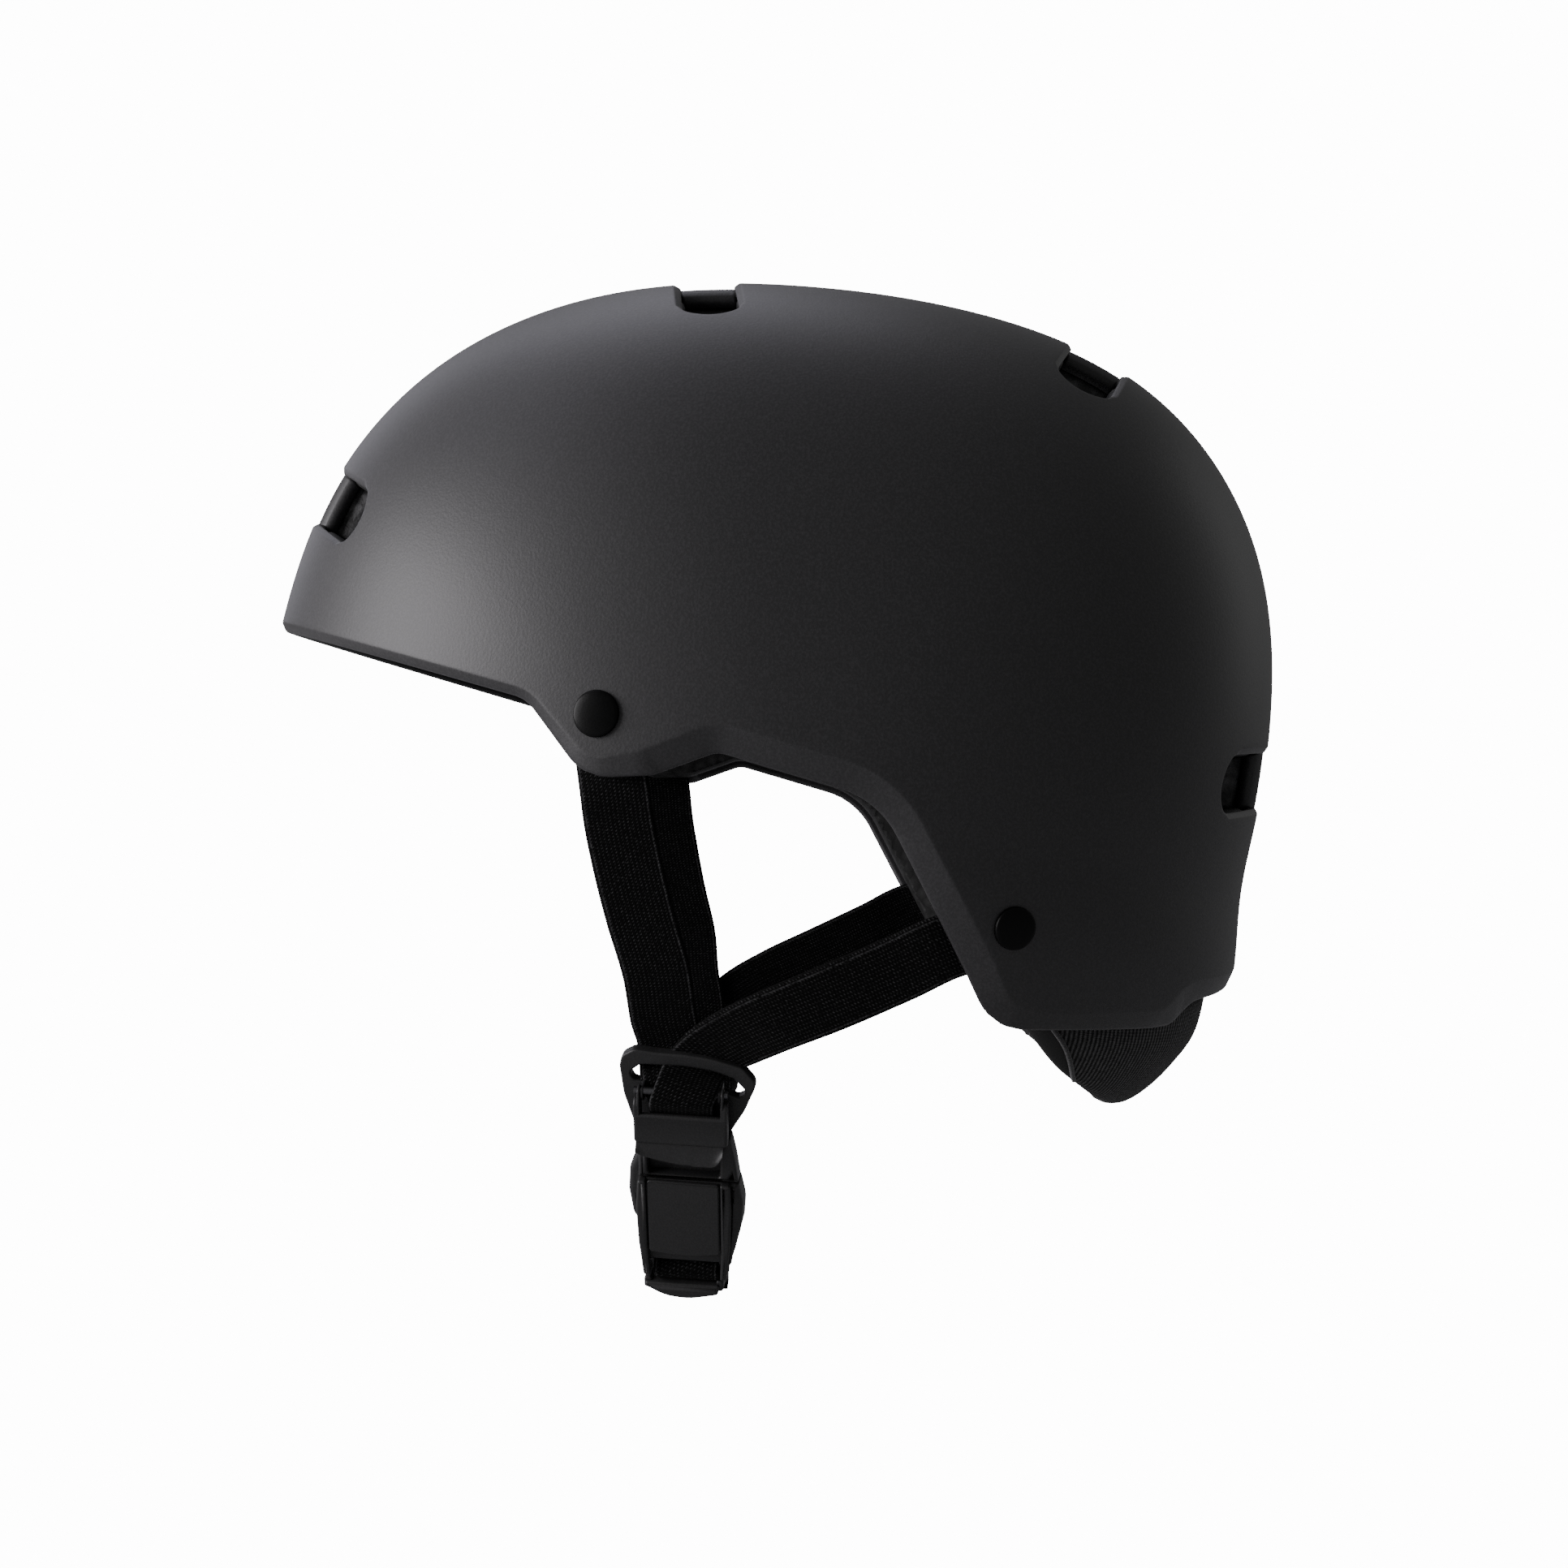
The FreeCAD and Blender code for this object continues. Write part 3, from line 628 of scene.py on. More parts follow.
def spines(name, profile, overlap):
    """Bars along the mid-plane that part each vent into a left and a right one."""
    points = []
    faces = []
    for direction, half, _, _, recess in VENTS:
        radius = float(RADIUS_AT(np.array(float(direction))))
        sweep = math.degrees((half + overlap) / radius)
        faces += tube_faces(SPINE_STATIONS, len(profile), len(points))
        for station in np.linspace(-sweep, sweep, SPINE_STATIONS):
            for x, depth in profile:
                at = recess + depth if depth < SPINE_TOP else depth
                across = math.degrees(math.asin(x / (HALF_WIDTH - at)))
                points.append(dome(np.array(direction + station), np.array(across), at))
    return fix_normals(new_mesh(name, points, faces))


# ---------------------------------------------------------------- materials
# Node helpers take and return sockets. Lengths are metres.
def new_material(name):
    material = bpy.data.materials.new(name)
    material.use_nodes = True
    tree = material.node_tree
    return material, tree, tree.nodes["Principled BSDF"]


def constants(node, values):
    for name, value in values.items():
        node.inputs[name].default_value = value


def grey(level, blue=1.0):
    return level, level, level * blue


def texture(tree, kind, size, detail=None):
    """Texture in the object's own space, with cells of about this size."""
    source = tree.nodes.new("ShaderNodeTexCoord")
    mapping = tree.nodes.new("ShaderNodeMapping")
    node = tree.nodes.new(kind)
    constants(mapping, {"Scale": (1 / size,) * 3})
    constants(node, {"Scale": 1.0} if detail is None else {"Scale": 1.0, "Detail": detail})
    tree.links.new(source.outputs["Object"], mapping.inputs["Vector"])
    tree.links.new(mapping.outputs["Vector"], node.inputs["Vector"])
    return node


def noise(tree, size, detail):
    return texture(tree, "ShaderNodeTexNoise", size, detail).outputs["Fac"]


def ramp(tree, value, low, high, first, second):
    """Colour that goes from the first to the second between two values."""
    node = tree.nodes.new("ShaderNodeValToRGB")
    for element, position, color in zip(node.color_ramp.elements, (low, high), (first, second)):
        element.position = position
        element.color = (*color, 1)
    tree.links.new(value, node.inputs["Fac"])
    return node.outputs["Color"]


def bump(tree, shader, height, strength, distance):
    node = tree.nodes.new("ShaderNodeBump")
    constants(node, {"Strength": strength, "Distance": distance})
    tree.links.new(height, node.inputs["Height"])
    tree.links.new(node.outputs["Normal"], shader.inputs["Normal"])


def math_node(tree, operation, *values):
    node = tree.nodes.new("ShaderNodeMath")
    node.operation = operation
    for value, entry in zip(values, node.inputs):
        if isinstance(value, (int, float)):
            entry.default_value = value
        else:
            tree.links.new(value, entry)
    return node.outputs[0]


def wave(tree, value, length):
    return math_node(tree, "SINE", math_node(tree, "MULTIPLY", value, 2 * math.pi / length))


def u_and_v(tree):
    source = tree.nodes.new("ShaderNodeTexCoord")
    split = tree.nodes.new("ShaderNodeSeparateXYZ")
    tree.links.new(source.outputs["UV"], split.inputs["Vector"])
    return split.outputs["X"], split.outputs["Y"]


def unit_range(tree, value, reach):
    """Maps -reach to reach onto 0 to 1."""
    node = tree.nodes.new("ShaderNodeMapRange")
    constants(node, {"From Min": -reach, "From Max": reach})
    tree.links.new(value, node.inputs["Value"])
    return node.outputs["Result"]


def plastic(name, color, roughness, grain, strength, speckle=0.0, specular=0.5):
    """Moulded plastic with a fine grain."""
    material, tree, shader = new_material(name)
    constants(shader, {"Roughness": roughness, "Specular IOR Level": specular})
    fine = noise(tree, grain, 3.0)
    light = tuple(min(1, c * (1 + speckle) + 0.004 * speckle) for c in color)
    dark = tuple(c * (1 - 0.3 * speckle) for c in color)
    tree.links.new(ramp(tree, fine, 0.42, 0.66, dark, light), shader.inputs["Base Color"])
    bump(tree, shader, fine, strength, grain * 0.5)
    return material


def metal(name, color, roughness):
    material, tree, shader = new_material(name)
    constants(shader, {"Metallic": 1.0, "Roughness": roughness})
    fine = noise(tree, 0.0004, 2.0)
    dark = tuple(c * 0.85 for c in color)
    tree.links.new(ramp(tree, fine, 0.3, 0.7, dark, color), shader.inputs["Base Color"])
    bump(tree, shader, fine, 0.08, 0.0001)
    return material


def webbing_cloth(name, base, glint):
    """Twill webbing with painted glints and a painted highlight line along each edge: U runs across and V
    along the strap.
    """
    material, tree, shader = new_material(name)
    across, along = u_and_v(tree)
    ribs = wave(tree, across, 0.00115)
    slant = math_node(tree, "ADD", along, math_node(tree, "MULTIPLY", across, 0.62))
    picks = wave(tree, slant, 0.0009)
    crossed = math_node(tree, "MULTIPLY", ribs, picks)
    height = math_node(tree, "ADD", math_node(tree, "MULTIPLY", picks, 0.6), crossed)
    height = unit_range(tree, height, 1.6)
    fuzz = noise(tree, 0.0007, 3.0)
    weave = math_node(tree, "MULTIPLY", height, fuzz)
    # Painted highlight: a thin dotted light line along each selvedge.
    selvedge = math_node(tree, "COMPARE", math_node(tree, "ABSOLUTE", across), 0.0082, 0.00022)
    edge_highlight = math_node(tree, "MULTIPLY", selvedge, math_node(tree, "MULTIPLY", fuzz, 0.95))
    blend = math_node(tree, "MAXIMUM", weave, edge_highlight)
    # The glint colour is painted highlight: light dots on the raised weave and on the edge lines.
    color = ramp(tree, blend, 0.30, 0.62, grey(base, 1.03), grey(glint, 1.03))
    tree.links.new(color, shader.inputs["Base Color"])
    constants(shader, {"Roughness": 0.78, "Specular IOR Level": 0.07})
    constants(shader, {"Sheen Weight": 0.02, "Sheen Roughness": 0.5})
    bump(tree, shader, height, 0.9, 0.00022)
    return material


def foam(name, dark, light):
    """Beaded foam: small cells with dark seams."""
    material, tree, shader = new_material(name)
    seams = texture(tree, "ShaderNodeTexVoronoi", 0.0032).outputs["Distance"]
    tree.links.new(ramp(tree, seams, 0.25, 0.75, grey(light), grey(dark)), shader.inputs["Base Color"])
    constants(shader, {"Roughness": 0.7, "Specular IOR Level": 0.3})
    bump(tree, shader, math_node(tree, "SUBTRACT", 1.0, seams), 0.6, 0.0004)
    return material


def knit(name, dark, light, size):
    """Brushed knit fabric with a soft sheen."""
    material, tree, shader = new_material(name)
    fine = noise(tree, size, 4.0)
    broad = noise(tree, size * 14, 3.0)
    total = math_node(tree, "ADD", math_node(tree, "MULTIPLY", fine, 0.7),
                      math_node(tree, "MULTIPLY", broad, 0.3))
    color = ramp(tree, total, 0.35, 0.65, grey(dark, 1.04), grey(light, 1.04))
    tree.links.new(color, shader.inputs["Base Color"])
    constants(shader, {"Roughness": 0.9, "Specular IOR Level": 0.2})
    constants(shader, {"Sheen Weight": 0.3, "Sheen Roughness": 0.6})
    bump(tree, shader, fine, 0.5, size)
    return material


# The neck cradle's ribs end at a line that runs from LINING_TOP degrees round the nape, at the upper
# edge, to LINING_TURN degrees nearer the middle, at the lower edge.
RIB_SPACING = 0.00118       # length across the ribs for each degree round the nape
RING_STEP = 0.0016          # length down the pad for each point of its outline
NECK_ROWS = 26              # points of the outline from the upper to the lower edge
LINING_TOP = 72.5
LINING_TURN = 12.5
LINING_SLOPE = LINING_TURN * RIB_SPACING / ((NECK_ROWS - 1) * RING_STEP)
LINING_START = LINING_TOP * RIB_SPACING


def ribbed_knit(name, dark, light, smooth):
    """Knit with ribs that run down the piece: U counts across them and V down.

    Beyond the line |U| + LINING_SLOPE V = LINING_START it is a smooth lining."""
    material, tree, shader = new_material(name)
    across, down = u_and_v(tree)
    reach = math_node(tree, "ADD", math_node(tree, "ABSOLUTE", across),
                      math_node(tree, "MULTIPLY", down, LINING_SLOPE))
    lining = math_node(tree, "GREATER_THAN", reach, LINING_START)
    stitches = math_node(tree, "MULTIPLY", wave(tree, down, 0.0009), 0.35)
    ribs = math_node(tree, "ADD", wave(tree, across, 0.00125), stitches)
    height = math_node(tree, "MULTIPLY", ribs, math_node(tree, "SUBTRACT", 1.0, lining))
    height = unit_range(tree, height, 1.35)
    blend = math_node(tree, "MULTIPLY", height, noise(tree, 0.0008, 3.0))
    two = tree.nodes.new("ShaderNodeMix")
    two.data_type = "RGBA"
    tree.links.new(lining, two.inputs["Factor"])
    tree.links.new(ramp(tree, blend, 0.1, 0.5, grey(dark), grey(light)), two.inputs[6])
    two.inputs[7].default_value = (*grey(smooth), 1)
    tree.links.new(two.outputs[2], shader.inputs["Base Color"])
    constants(shader, {"Roughness": 0.85, "Specular IOR Level": 0.25})
    bump(tree, shader, height, 0.9, 0.00035)
    return material


SHELL_PLASTIC = plastic("shell_plastic", (0.0156, 0.0150, 0.0163), 0.50, 0.0007, 0.14, 0.4)
RIVET_PLASTIC = plastic("rivet_plastic", (0.0011, 0.0011, 0.0012), 0.34, 0.0006, 0.04, 0.2, 0.12)
HARD_PLASTIC = plastic("hardware_plastic", (0.0150, 0.0150, 0.0155), 0.46, 0.0004, 0.20, 0.3, 0.36)
WEBBING = webbing_cloth("webbing_twill", 0.0004, 0.045)
ELASTIC = webbing_cloth("elastic_weave", 0.003, 0.015)
FOAM = foam("beaded_foam", 0.005, 0.016)
INNER_FOAM = plastic("moulded_foam", (0.045, 0.045, 0.047), 0.55, 0.0045, 0.6, 1.2, 0.4)
PAD_FABRIC = knit("pad_knit", 0.012, 0.035, 0.0008)
NECK_FABRIC = knit("neck_knit", 0.010, 0.030, 0.0006)
NECK_RIBS = ribbed_knit("neck_ribs", 0.003, 0.10, 0.020)
HOOK = knit("hook_tape", 0.006, 0.016, 0.0005)
STEEL = metal("blackened_steel", (0.10, 0.10, 0.105), 0.42)
MAGNET = metal("nickel", (0.62, 0.61, 0.58), 0.22)
BY_SLOT = {
    "shell": SHELL_PLASTIC, "foam": FOAM, "pad_fabric": PAD_FABRIC, "neck_fabric": NECK_FABRIC,
    "hook_tape": HOOK, "rivet_cap": RIVET_PLASTIC, "webbing": WEBBING, "hardware": HARD_PLASTIC,
    "magnet": MAGNET, "steel": STEEL, "elastic": ELASTIC}
for part in frame["record"]["subparts"]:
    node = NODES[part["node"]]
    node.data.materials.clear()
    node.data.materials.append(BY_SLOT[part["material_slot"]])


def dress(piece, material, slot, body, *nodes):
    """Gives a finished piece its material and body, and hides the CAD nodes it stands for."""
    piece.data.materials.clear()
    piece.data.materials.append(material)
    if body:
        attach(piece, body)
    if nodes:
        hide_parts(*nodes)
    return piece


# ---------------------------------------------------------------- helmet body
skin = shell_skin()
dress(skin, SHELL_PLASTIC, "shell", "helmet", "outer_shell")
dress(spines("vent_spines", SPINE_PROFILE, 0.0007), SHELL_PLASTIC, "shell", "helmet")
dress(spines("liner_spines", FOAM_PROFILE, 0.0002), INNER_FOAM, "foam", "helmet")
liner = liner_foam()
dress(liner, FOAM, "foam", "helmet", "impact_liner")


# ---------------------------------------------------------------- harness plane of the left side
MM = 0.001                  # the small outlines below are in millimetres: back, up and out of the plane
# Ends of the line where the left straps bend, and the middle of the left divider.
HINGE_FRONT = np.array((0.101, -0.050, 0.009))
HINGE_REAR = np.array((0.0915, 0.036, -0.040))
DIVIDER = np.array((0.070, -0.031, -0.070))
OUT = unit(np.cross(DIVIDER - HINGE_FRONT, HINGE_REAR - HINGE_FRONT))
UP = unit(np.array((-OUT[2], 0, OUT[0])))
BACK = np.cross(UP, OUT)
WEB = 18.0
WEB_THICK = 1.5
SIDES = {"left": 1, "right": -1}


def harness(points):
    """From back, up and out of the divider, in millimetres, to the frame's metres."""
    points = np.asarray(points, float) * MM
    return DIVIDER + points @ np.array((BACK, UP, OUT))


def mirrored(points, side):
    return np.asarray(points) * (SIDES[side], 1, 1)


SHARPEST = 0.6              # keeps the step inward short at sharp corners


def inward(ring):
    """Direction into the material at each point of a ring."""
    after = unit(np.roll(ring, -1, 0) - ring)
    before = unit(ring - np.roll(ring, 1, 0))
    normal = unit(np.stack([-(after + before)[:, 1], (after + before)[:, 0]], 1))
    cosine = np.abs(normal[:, 0] * -after[:, 1] + normal[:, 1] * after[:, 0])
    return normal / np.maximum(cosine, SHARPEST)[:, None]


def prism(corners, low, high, edge=0.5, holes=(), plane="xy", crown=0.0):
    """Rounded plate from an outline of corners (a, b, radius), between two heights."""
    rings = []
    for k, one in enumerate((corners, *holes)):
        ring = rounded(one, steps=6)
        gaps = np.linalg.norm(ring - np.roll(ring, 1, 0), axis=1)
        ring = ring[gaps > 1e-4]
        x, y = ring.T
        area = np.sum(x * np.roll(y, -1) - y * np.roll(x, -1))
        rings.append(ring if (area > 0) == (k == 0) else ring[::-1])
    turns = np.radians(np.linspace(0, 90, 5))
    quarter = [(1.35 * edge, 0)] + list(zip(edge * (1 - np.sin(turns)), edge * (1 - np.cos(turns))))
    profile = [(inset, low + rise) for inset, rise in quarter]
    profile += [(inset, high - rise) for inset, rise in reversed(quarter)]
    flat = []
    faces = []
    middle = np.mean(rings[0], 0)
    size = np.max(np.linalg.norm(rings[0] - middle, axis=1))
    caps = {0: [], len(profile) - 1: []}
    base = 0
    for ring in rings:
        n = len(ring)
        normal = inward(ring)
        for k, (inset, height) in enumerate(profile):
            spots = ring + normal * inset
            raised = np.full(n, height)
            if crown and k > len(profile) / 2:
                raised = raised - crown * (np.linalg.norm(spots - middle, axis=1) / size) ** 2
            flat.append(np.column_stack([spots, raised]))
            if k in caps:
                caps[k].append((base + k * n, spots))
            if k:
                a = base + (k - 1) * n + np.arange(n)
                b = base + (k - 1) * n + (np.arange(n) + 1) % n
                faces += [[int(p), int(q), int(q + n), int(p + n)] for p, q in zip(a, b)]
        base += n * len(profile)
    for k, loops in caps.items():
        numbers = np.concatenate([start + np.arange(len(spots)) for start, spots in loops])
        lines = [[Vector((x, y, 0)) for x, y in spots] for _, spots in loops]
        for triangle in tessellate_polygon(lines):
            faces.append([int(numbers[v]) for v in triangle])
    order = {"xy": (0, 1, 2), "yz": (2, 0, 1)}[plane]
    return np.concatenate(flat)[:, order], faces


def bar(radius, y, z, x0, x1, edge=0.3):
    """Round bar along x in the harness plane."""
    corners = ((-1, -1), (1, -1), (1, 1), (-1, 1))
    square = [(y + radius * a, z + radius * b, radius * 0.999) for a, b in corners]
    return prism(square, x0, x1, edge, plane="yz")


def block(x0, x1, y0, y1, low, high, radius=0.8, edge=0.4):
    return prism([(x0, y0, radius), (x1, y0, radius), (x1, y1, radius), (x0, y1, radius)], low, high, edge)


def hardware(name, pieces, side="left"):
    """One mesh from several rounded pieces in the harness plane."""
    points = []
    faces = []
    base = 0
    for part_points, part_faces in pieces:
        points.append(part_points)
        faces += [[base + v for v in face] for face in part_faces]
        base += len(part_points)
    return fix_normals(new_mesh(name, mirrored(harness(np.concatenate(points)), side), faces))


# ---------------------------------------------------------------- webbing
def smooth_line(points, along, samples):
    """Smooth curve through points at given places along, read at the samples."""
    points = np.asarray(points, float)
    tangent = np.gradient(points, along, axis=0)
    i = np.clip(np.searchsorted(along, samples, side="right") - 1, 0, len(along) - 2)
    width = (along[i + 1] - along[i])[:, None]
    t = ((samples - along[i])[:, None]) / width
    return ((2 * t ** 3 - 3 * t ** 2 + 1) * points[i] + (t ** 3 - 2 * t ** 2 + t) * width * tangent[i]
            + (3 * t ** 2 - 2 * t ** 3) * points[i + 1] + (t ** 3 - t ** 2) * width * tangent[i + 1])


# Places across a strap, from edge to edge.
SECTION = [-1, -0.985, -0.95, -0.88, -0.6, -0.3, 0, 0.3, 0.6, 0.88, 0.95, 0.985, 1]
STRIP_STEP = 0.0015


def strip(name, stations):
    """Flat webbing through stations (one edge, other edge), with rounded selvedges."""
    thick = WEB_THICK * MM
    left = np.array([s[0] for s in stations], float)
    right = np.array([s[1] for s in stations], float)
    middle = (left + right) / 2
    along = np.concatenate([[0], np.cumsum(np.linalg.norm(np.diff(middle, axis=0), axis=1))])
    samples = np.linspace(0, along[-1], int(along[-1] / STRIP_STEP))
    left = smooth_line(left, along, samples)
    right = smooth_line(right, along, samples)
    centre = (left + right) / 2
    half = (right - left) / 2
    tangent = np.gradient(centre, samples, axis=0)
    normal = unit(np.cross(tangent, half))
    width = np.linalg.norm(half, axis=1)
    points = []
    uvs = []
    outline = [(u, 1) for u in SECTION] + [(u, -1) for u in SECTION[-2:0:-1]]
    for u, face in outline:
        from_edge = (1 - abs(u)) * np.mean(width) / (thick / 2)
        rise = math.sqrt(max(0, 1 - (1 - min(1, from_edge)) ** 2)) * face * thick / 2
        points.append(centre + half * u + normal * rise)
        uvs.append(np.column_stack([u * width, samples]))
    count = len(outline)
    points = np.stack(points, 1).reshape(-1, 3)
    uvs = np.stack(uvs, 1).reshape(-1, 2)
    return fix_normals(new_mesh(name, points, tube_faces(len(samples), count), uvs))


def on_dome(y, z, depth):
    """Point of the left side inside the shell that is seen at Y, Z."""
    direction = math.degrees(math.atan2(z, -y)) % 360
    reach = math.hypot(y, z)
    low, high = 20.0, 89.5
    for _ in range(40):
        middle = (low + high) / 2
        at = dome(np.array(direction), np.array(middle), depth)
        if math.hypot(at[1], at[2]) > reach:
            low = middle
        else:
            high = middle
    return dome(np.array(direction), np.array(middle), depth)


INNER_DEPTH = 0.0062


def inside_station(y, z, dy, dz):
    """Both edges of a strap end inside the shell; dy, dz is half its width in the side view."""
    return on_dome(y - dy, z - dz, INNER_DEPTH), on_dome(y + dy, z + dz, INNER_DEPTH)


def plane_station(x0, y0, x1, y1, out0, out1=None):
    """Both edges of a strap in the harness plane, in its millimetres."""
    edges = harness([(x0, y0, out0), (x1, y1, out0 if out1 is None else out1)])
    return edges[0], edges[1]


BAIL_Y = -17.0              # upper bar of the buckle
BAIL_REACH = 2.9            # from its middle to the middle of the webbing round it
# Middle of each leg inside the shell, in Y, Z metres, from the rivet down to the rim.
FRONT_INSIDE = [(-0.0512, 0.040), (-0.0496, 0.029), (-0.0478, 0.0165)]
REAR_INSIDE = [(0.066, -0.021), (0.054, -0.0258), (0.0445, -0.0297)]


def front_webbing(looped):
    """Front leg: from the rivet inside the shell to the divider, and round the bail if looped."""
    stations = [inside_station(y, z, 0.0089, 0.0013) for y, z in FRONT_INSIDE]
    z = -0.85
    stations += [
        plane_station(-25.0, 84.0, -7.0, 87.0, z),
        plane_station(-24.2, 74.0, -5.8, 76.6, z),
        plane_station(-22.3, 60.9, -3.6, 63.4, z - 0.3),
        plane_station(-19.6, 47.1, -1.0, 50.2, z - 0.4),
        plane_station(-15.6, 31.0, 2.6, 34.8, z - 0.2),
        plane_station(-14.2, 15.0, 4.0, 18.0, -3.6),
        plane_station(-13.2, 9.0, 5.1, 10.8, -5.2),
        plane_station(-12.6, 5.0, 5.8, 6.2, -4.4),
        plane_station(-11.6, 0.6, 7.0, 0.8, -0.6),
        plane_station(-10.0, -4.0, 8.6, -4.0, 0.4),
        plane_station(-9.0, -10.0, 9.0, -10.0, -0.6),
    ]
    if looped:
        for turn in range(-20, 201, 20):
            a = math.radians(turn)
            y = BAIL_Y - BAIL_REACH * math.sin(a)
            stations.append(plane_station(-9, y, 9, y, -BAIL_REACH * math.cos(a)))
        stations.append(plane_station(-9, -9.0, 9, -9.0, 2.5))
    else:
        stations.append(plane_station(-9, -14, 9, -14, z))
    return stations


def rear_webbing():
    """Rear leg: from the rivet inside the shell, turned down in front of the front leg at the divider."""
    stations = [inside_station(y, z, 0.0034, -0.0083) for y, z in REAR_INSIDE]
    z = 0.85
    return stations + [
        plane_station(67.5, 55.0, 76.0, 38.6, z),
        plane_station(52.0, 46.6, 60.5, 30.0, z + 0.2),
        plane_station(34.0, 37.0, 43.0, 20.4, z + 0.4),
        plane_station(17.6, 28.0, 28.0, 12.6, z, z - 0.4),
        plane_station(6.3, 20.0, 19.6, 6.8, -0.8, -2.4),
        plane_station(-0.6, 13.0, 14.4, 3.6, -2.4, -3.4),
        plane_station(-4.0, 8.0, 12.4, 2.2, -3.4, -3.2),
        plane_station(-5.6, 5.0, 10.9, 1.0, -1.2, -1.0),
        plane_station(-6.4, 3.0, 10.2, 0.2, 3.6, 3.6),
        plane_station(-7.2, 1.0, 9.6, -0.8, 5.7, 5.7),
        plane_station(-8.1, -1.8, 9.0, -2.4, 6.0, 6.0),
        plane_station(-8.5, -4.6, 8.7, -4.8, 4.5, 4.5),
        plane_station(-8.6, -7.2, 8.6, -7.2, 2.9, 2.9),
        plane_station(-8.6, -10.0, 8.6, -10.0, 2.5, 2.5),
    ]


HINGE_DOWN = unit(np.cross(HINGE_REAR - HINGE_FRONT, OUT))
HINGE_DOWN *= -np.sign(HINGE_DOWN[2])
BEND_ABOVE = 0.003          # lengths above and below the hinge line
BEND_BELOW = 0.007


def bend_at_rim(piece, side):
    start = mirrored(HINGE_FRONT - HINGE_DOWN * BEND_ABOVE, side)
    end = mirrored(HINGE_FRONT + HINGE_DOWN * BEND_BELOW, side)
    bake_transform(piece)


for side in SIDES:
    legs = {"front": front_webbing(side == "left"), "rear": rear_webbing()}
    for end, stations in legs.items():
        stations = [tuple(mirrored(edge, side) for edge in station) for station in stations]
        web = strip(end + "_webbing_" + side, stations)
        dress(web, WEBBING, "webbing", None, "strap_anchor_" + end + "_" + side, end + "_strap_" + side)
        bend_at_rim(web, side)

# ---------------------------------------------------------------- divider and cam flap
DIVIDER_PLATE = [
    (-13.4, -14.2, 1.2), (-16.4, -4.0, 12), (-17.3, 4.4, 4.0), (-16.6, 7.4, 2.5), (-13.2, 9.5, 3.0),
    (-7.0, 8.8, 20), (0.0, 8.7, 40), (7.6, 7.9, 30), (16.0, 5.6, 3.0), (19.8, 1.0, 3.4),
    (16.4, -7.4, 14), (12.4, -14.4, 1.2)]
DIVIDER_SLOT = [
    (-13.4, 0.2, 1.5), (-14.6, 2.6, 1.5), (-11.6, 5.0, 1.8), (0.4, 5.1, 30), (8.0, 4.2, 20), (13.6, 2.3, 2.0),
    (17.2, -1.8, 1.3), (14.6, -3.4, 1.2), (8.0, -1.4, 20)]


def divider_pieces():
    lug = [(-4.2, -2.0, 0.6), (-3.4, 3.6, 1.6), (-1.6, 5.0, 1.6), (0.6, 4.6, 1.4), (1.0, -2.0, 0.6)]
    return [
        prism(DIVIDER_PLATE, -4.2, -0.7, 0.55, holes=[DIVIDER_SLOT]),
        prism(lug, -10.8, -10.0, 0.25, plane="yz"),
        prism(lug, 10.0, 10.8, 0.25, plane="yz"),
    ]


EAR_BACK = [(-15.0, 5.9, 1.6), (-15.4, 3.2, 1.0), (-7.0, 1.6, 3.0)]
EAR = EAR_BACK + [(0.4, 1.6, 1.4), (1.2, 3.2, 1.0), (0.4, 5.0, 1.4), (-3.4, 6.1, 2.0)]
SHOULDER = EAR_BACK + [(-2.4, 2.2, 1.2), (-2.0, 5.0, 1.4), (-3.6, 6.1, 1.6)]
LIP_LEFT = -12.2
LIP_RIGHT = 11.4
LIP_TOP = -14.2
LIP_THICK = 1.5


def thumb_lip():
    """Curved lip at the lower end of the cam flap, lower towards the right and cut back at its corner."""
    across = np.linspace(LIP_LEFT, LIP_RIGHT, 25)
    edge = -17.2 - 3.1 * np.clip((across - LIP_LEFT) / 12, 0, 1) ** 0.6 - 0.3 * (across > 3)
    edge = edge + 3.4 * np.clip((across - 8.4) / 3.0, 0, 1) ** 2
    rows = []
    for share in np.linspace(0, 1, 7):
        y = LIP_TOP + (edge - LIP_TOP) * share
        rows.append(np.column_stack([across, y, np.full_like(across, 5.7 + 1.5 * share ** 2)]))
    front = np.concatenate(rows)
    wide = len(across)
    corners = [i * wide + j for i in range(len(rows) - 1) for j in range(wide - 1)]
    faces = [[a, a + 1, a + wide + 1, a + wide] for a in corners]
    back_faces = [[len(front) + v for v in reversed(face)] for face in faces]
    sides = [quad for loop in border_loops(faces) for quad in ring_faces(loop, loop + len(front))]
    return np.concatenate([front, front - (0, 0.2, LIP_THICK)]), faces + back_faces + sides


def cam_flap_pieces():
    """Lever with two ears on the pivot pin and a thumb lip."""
    face = [(-12.6, -6.2, 0.9), (12.6, -6.2, 0.9), (12.6, -15.2, 1.2), (-12.6, -15.2, 1.2)]
    return [
        prism(EAR, -11.6, -10.9, 0.25, plane="yz"),
        prism(EAR, 10.9, 11.6, 0.25, plane="yz"),
        prism(SHOULDER, -12.6, -11.2, 0.45, plane="yz"),
        prism(SHOULDER, 11.2, 12.6, 0.45, plane="yz"),
        prism(face, 4.3, 6.1, 0.7),
        thumb_lip(),
    ]


def soften(piece, width):
    """Small bevel on the sharp edges of a finished piece."""
    bevel = piece.modifiers.new("soft_edges", "BEVEL")
    bevel.width = width
    bevel.segments = 2
    bevel.limit_method = "ANGLE"
    bevel.angle_limit = math.radians(50)


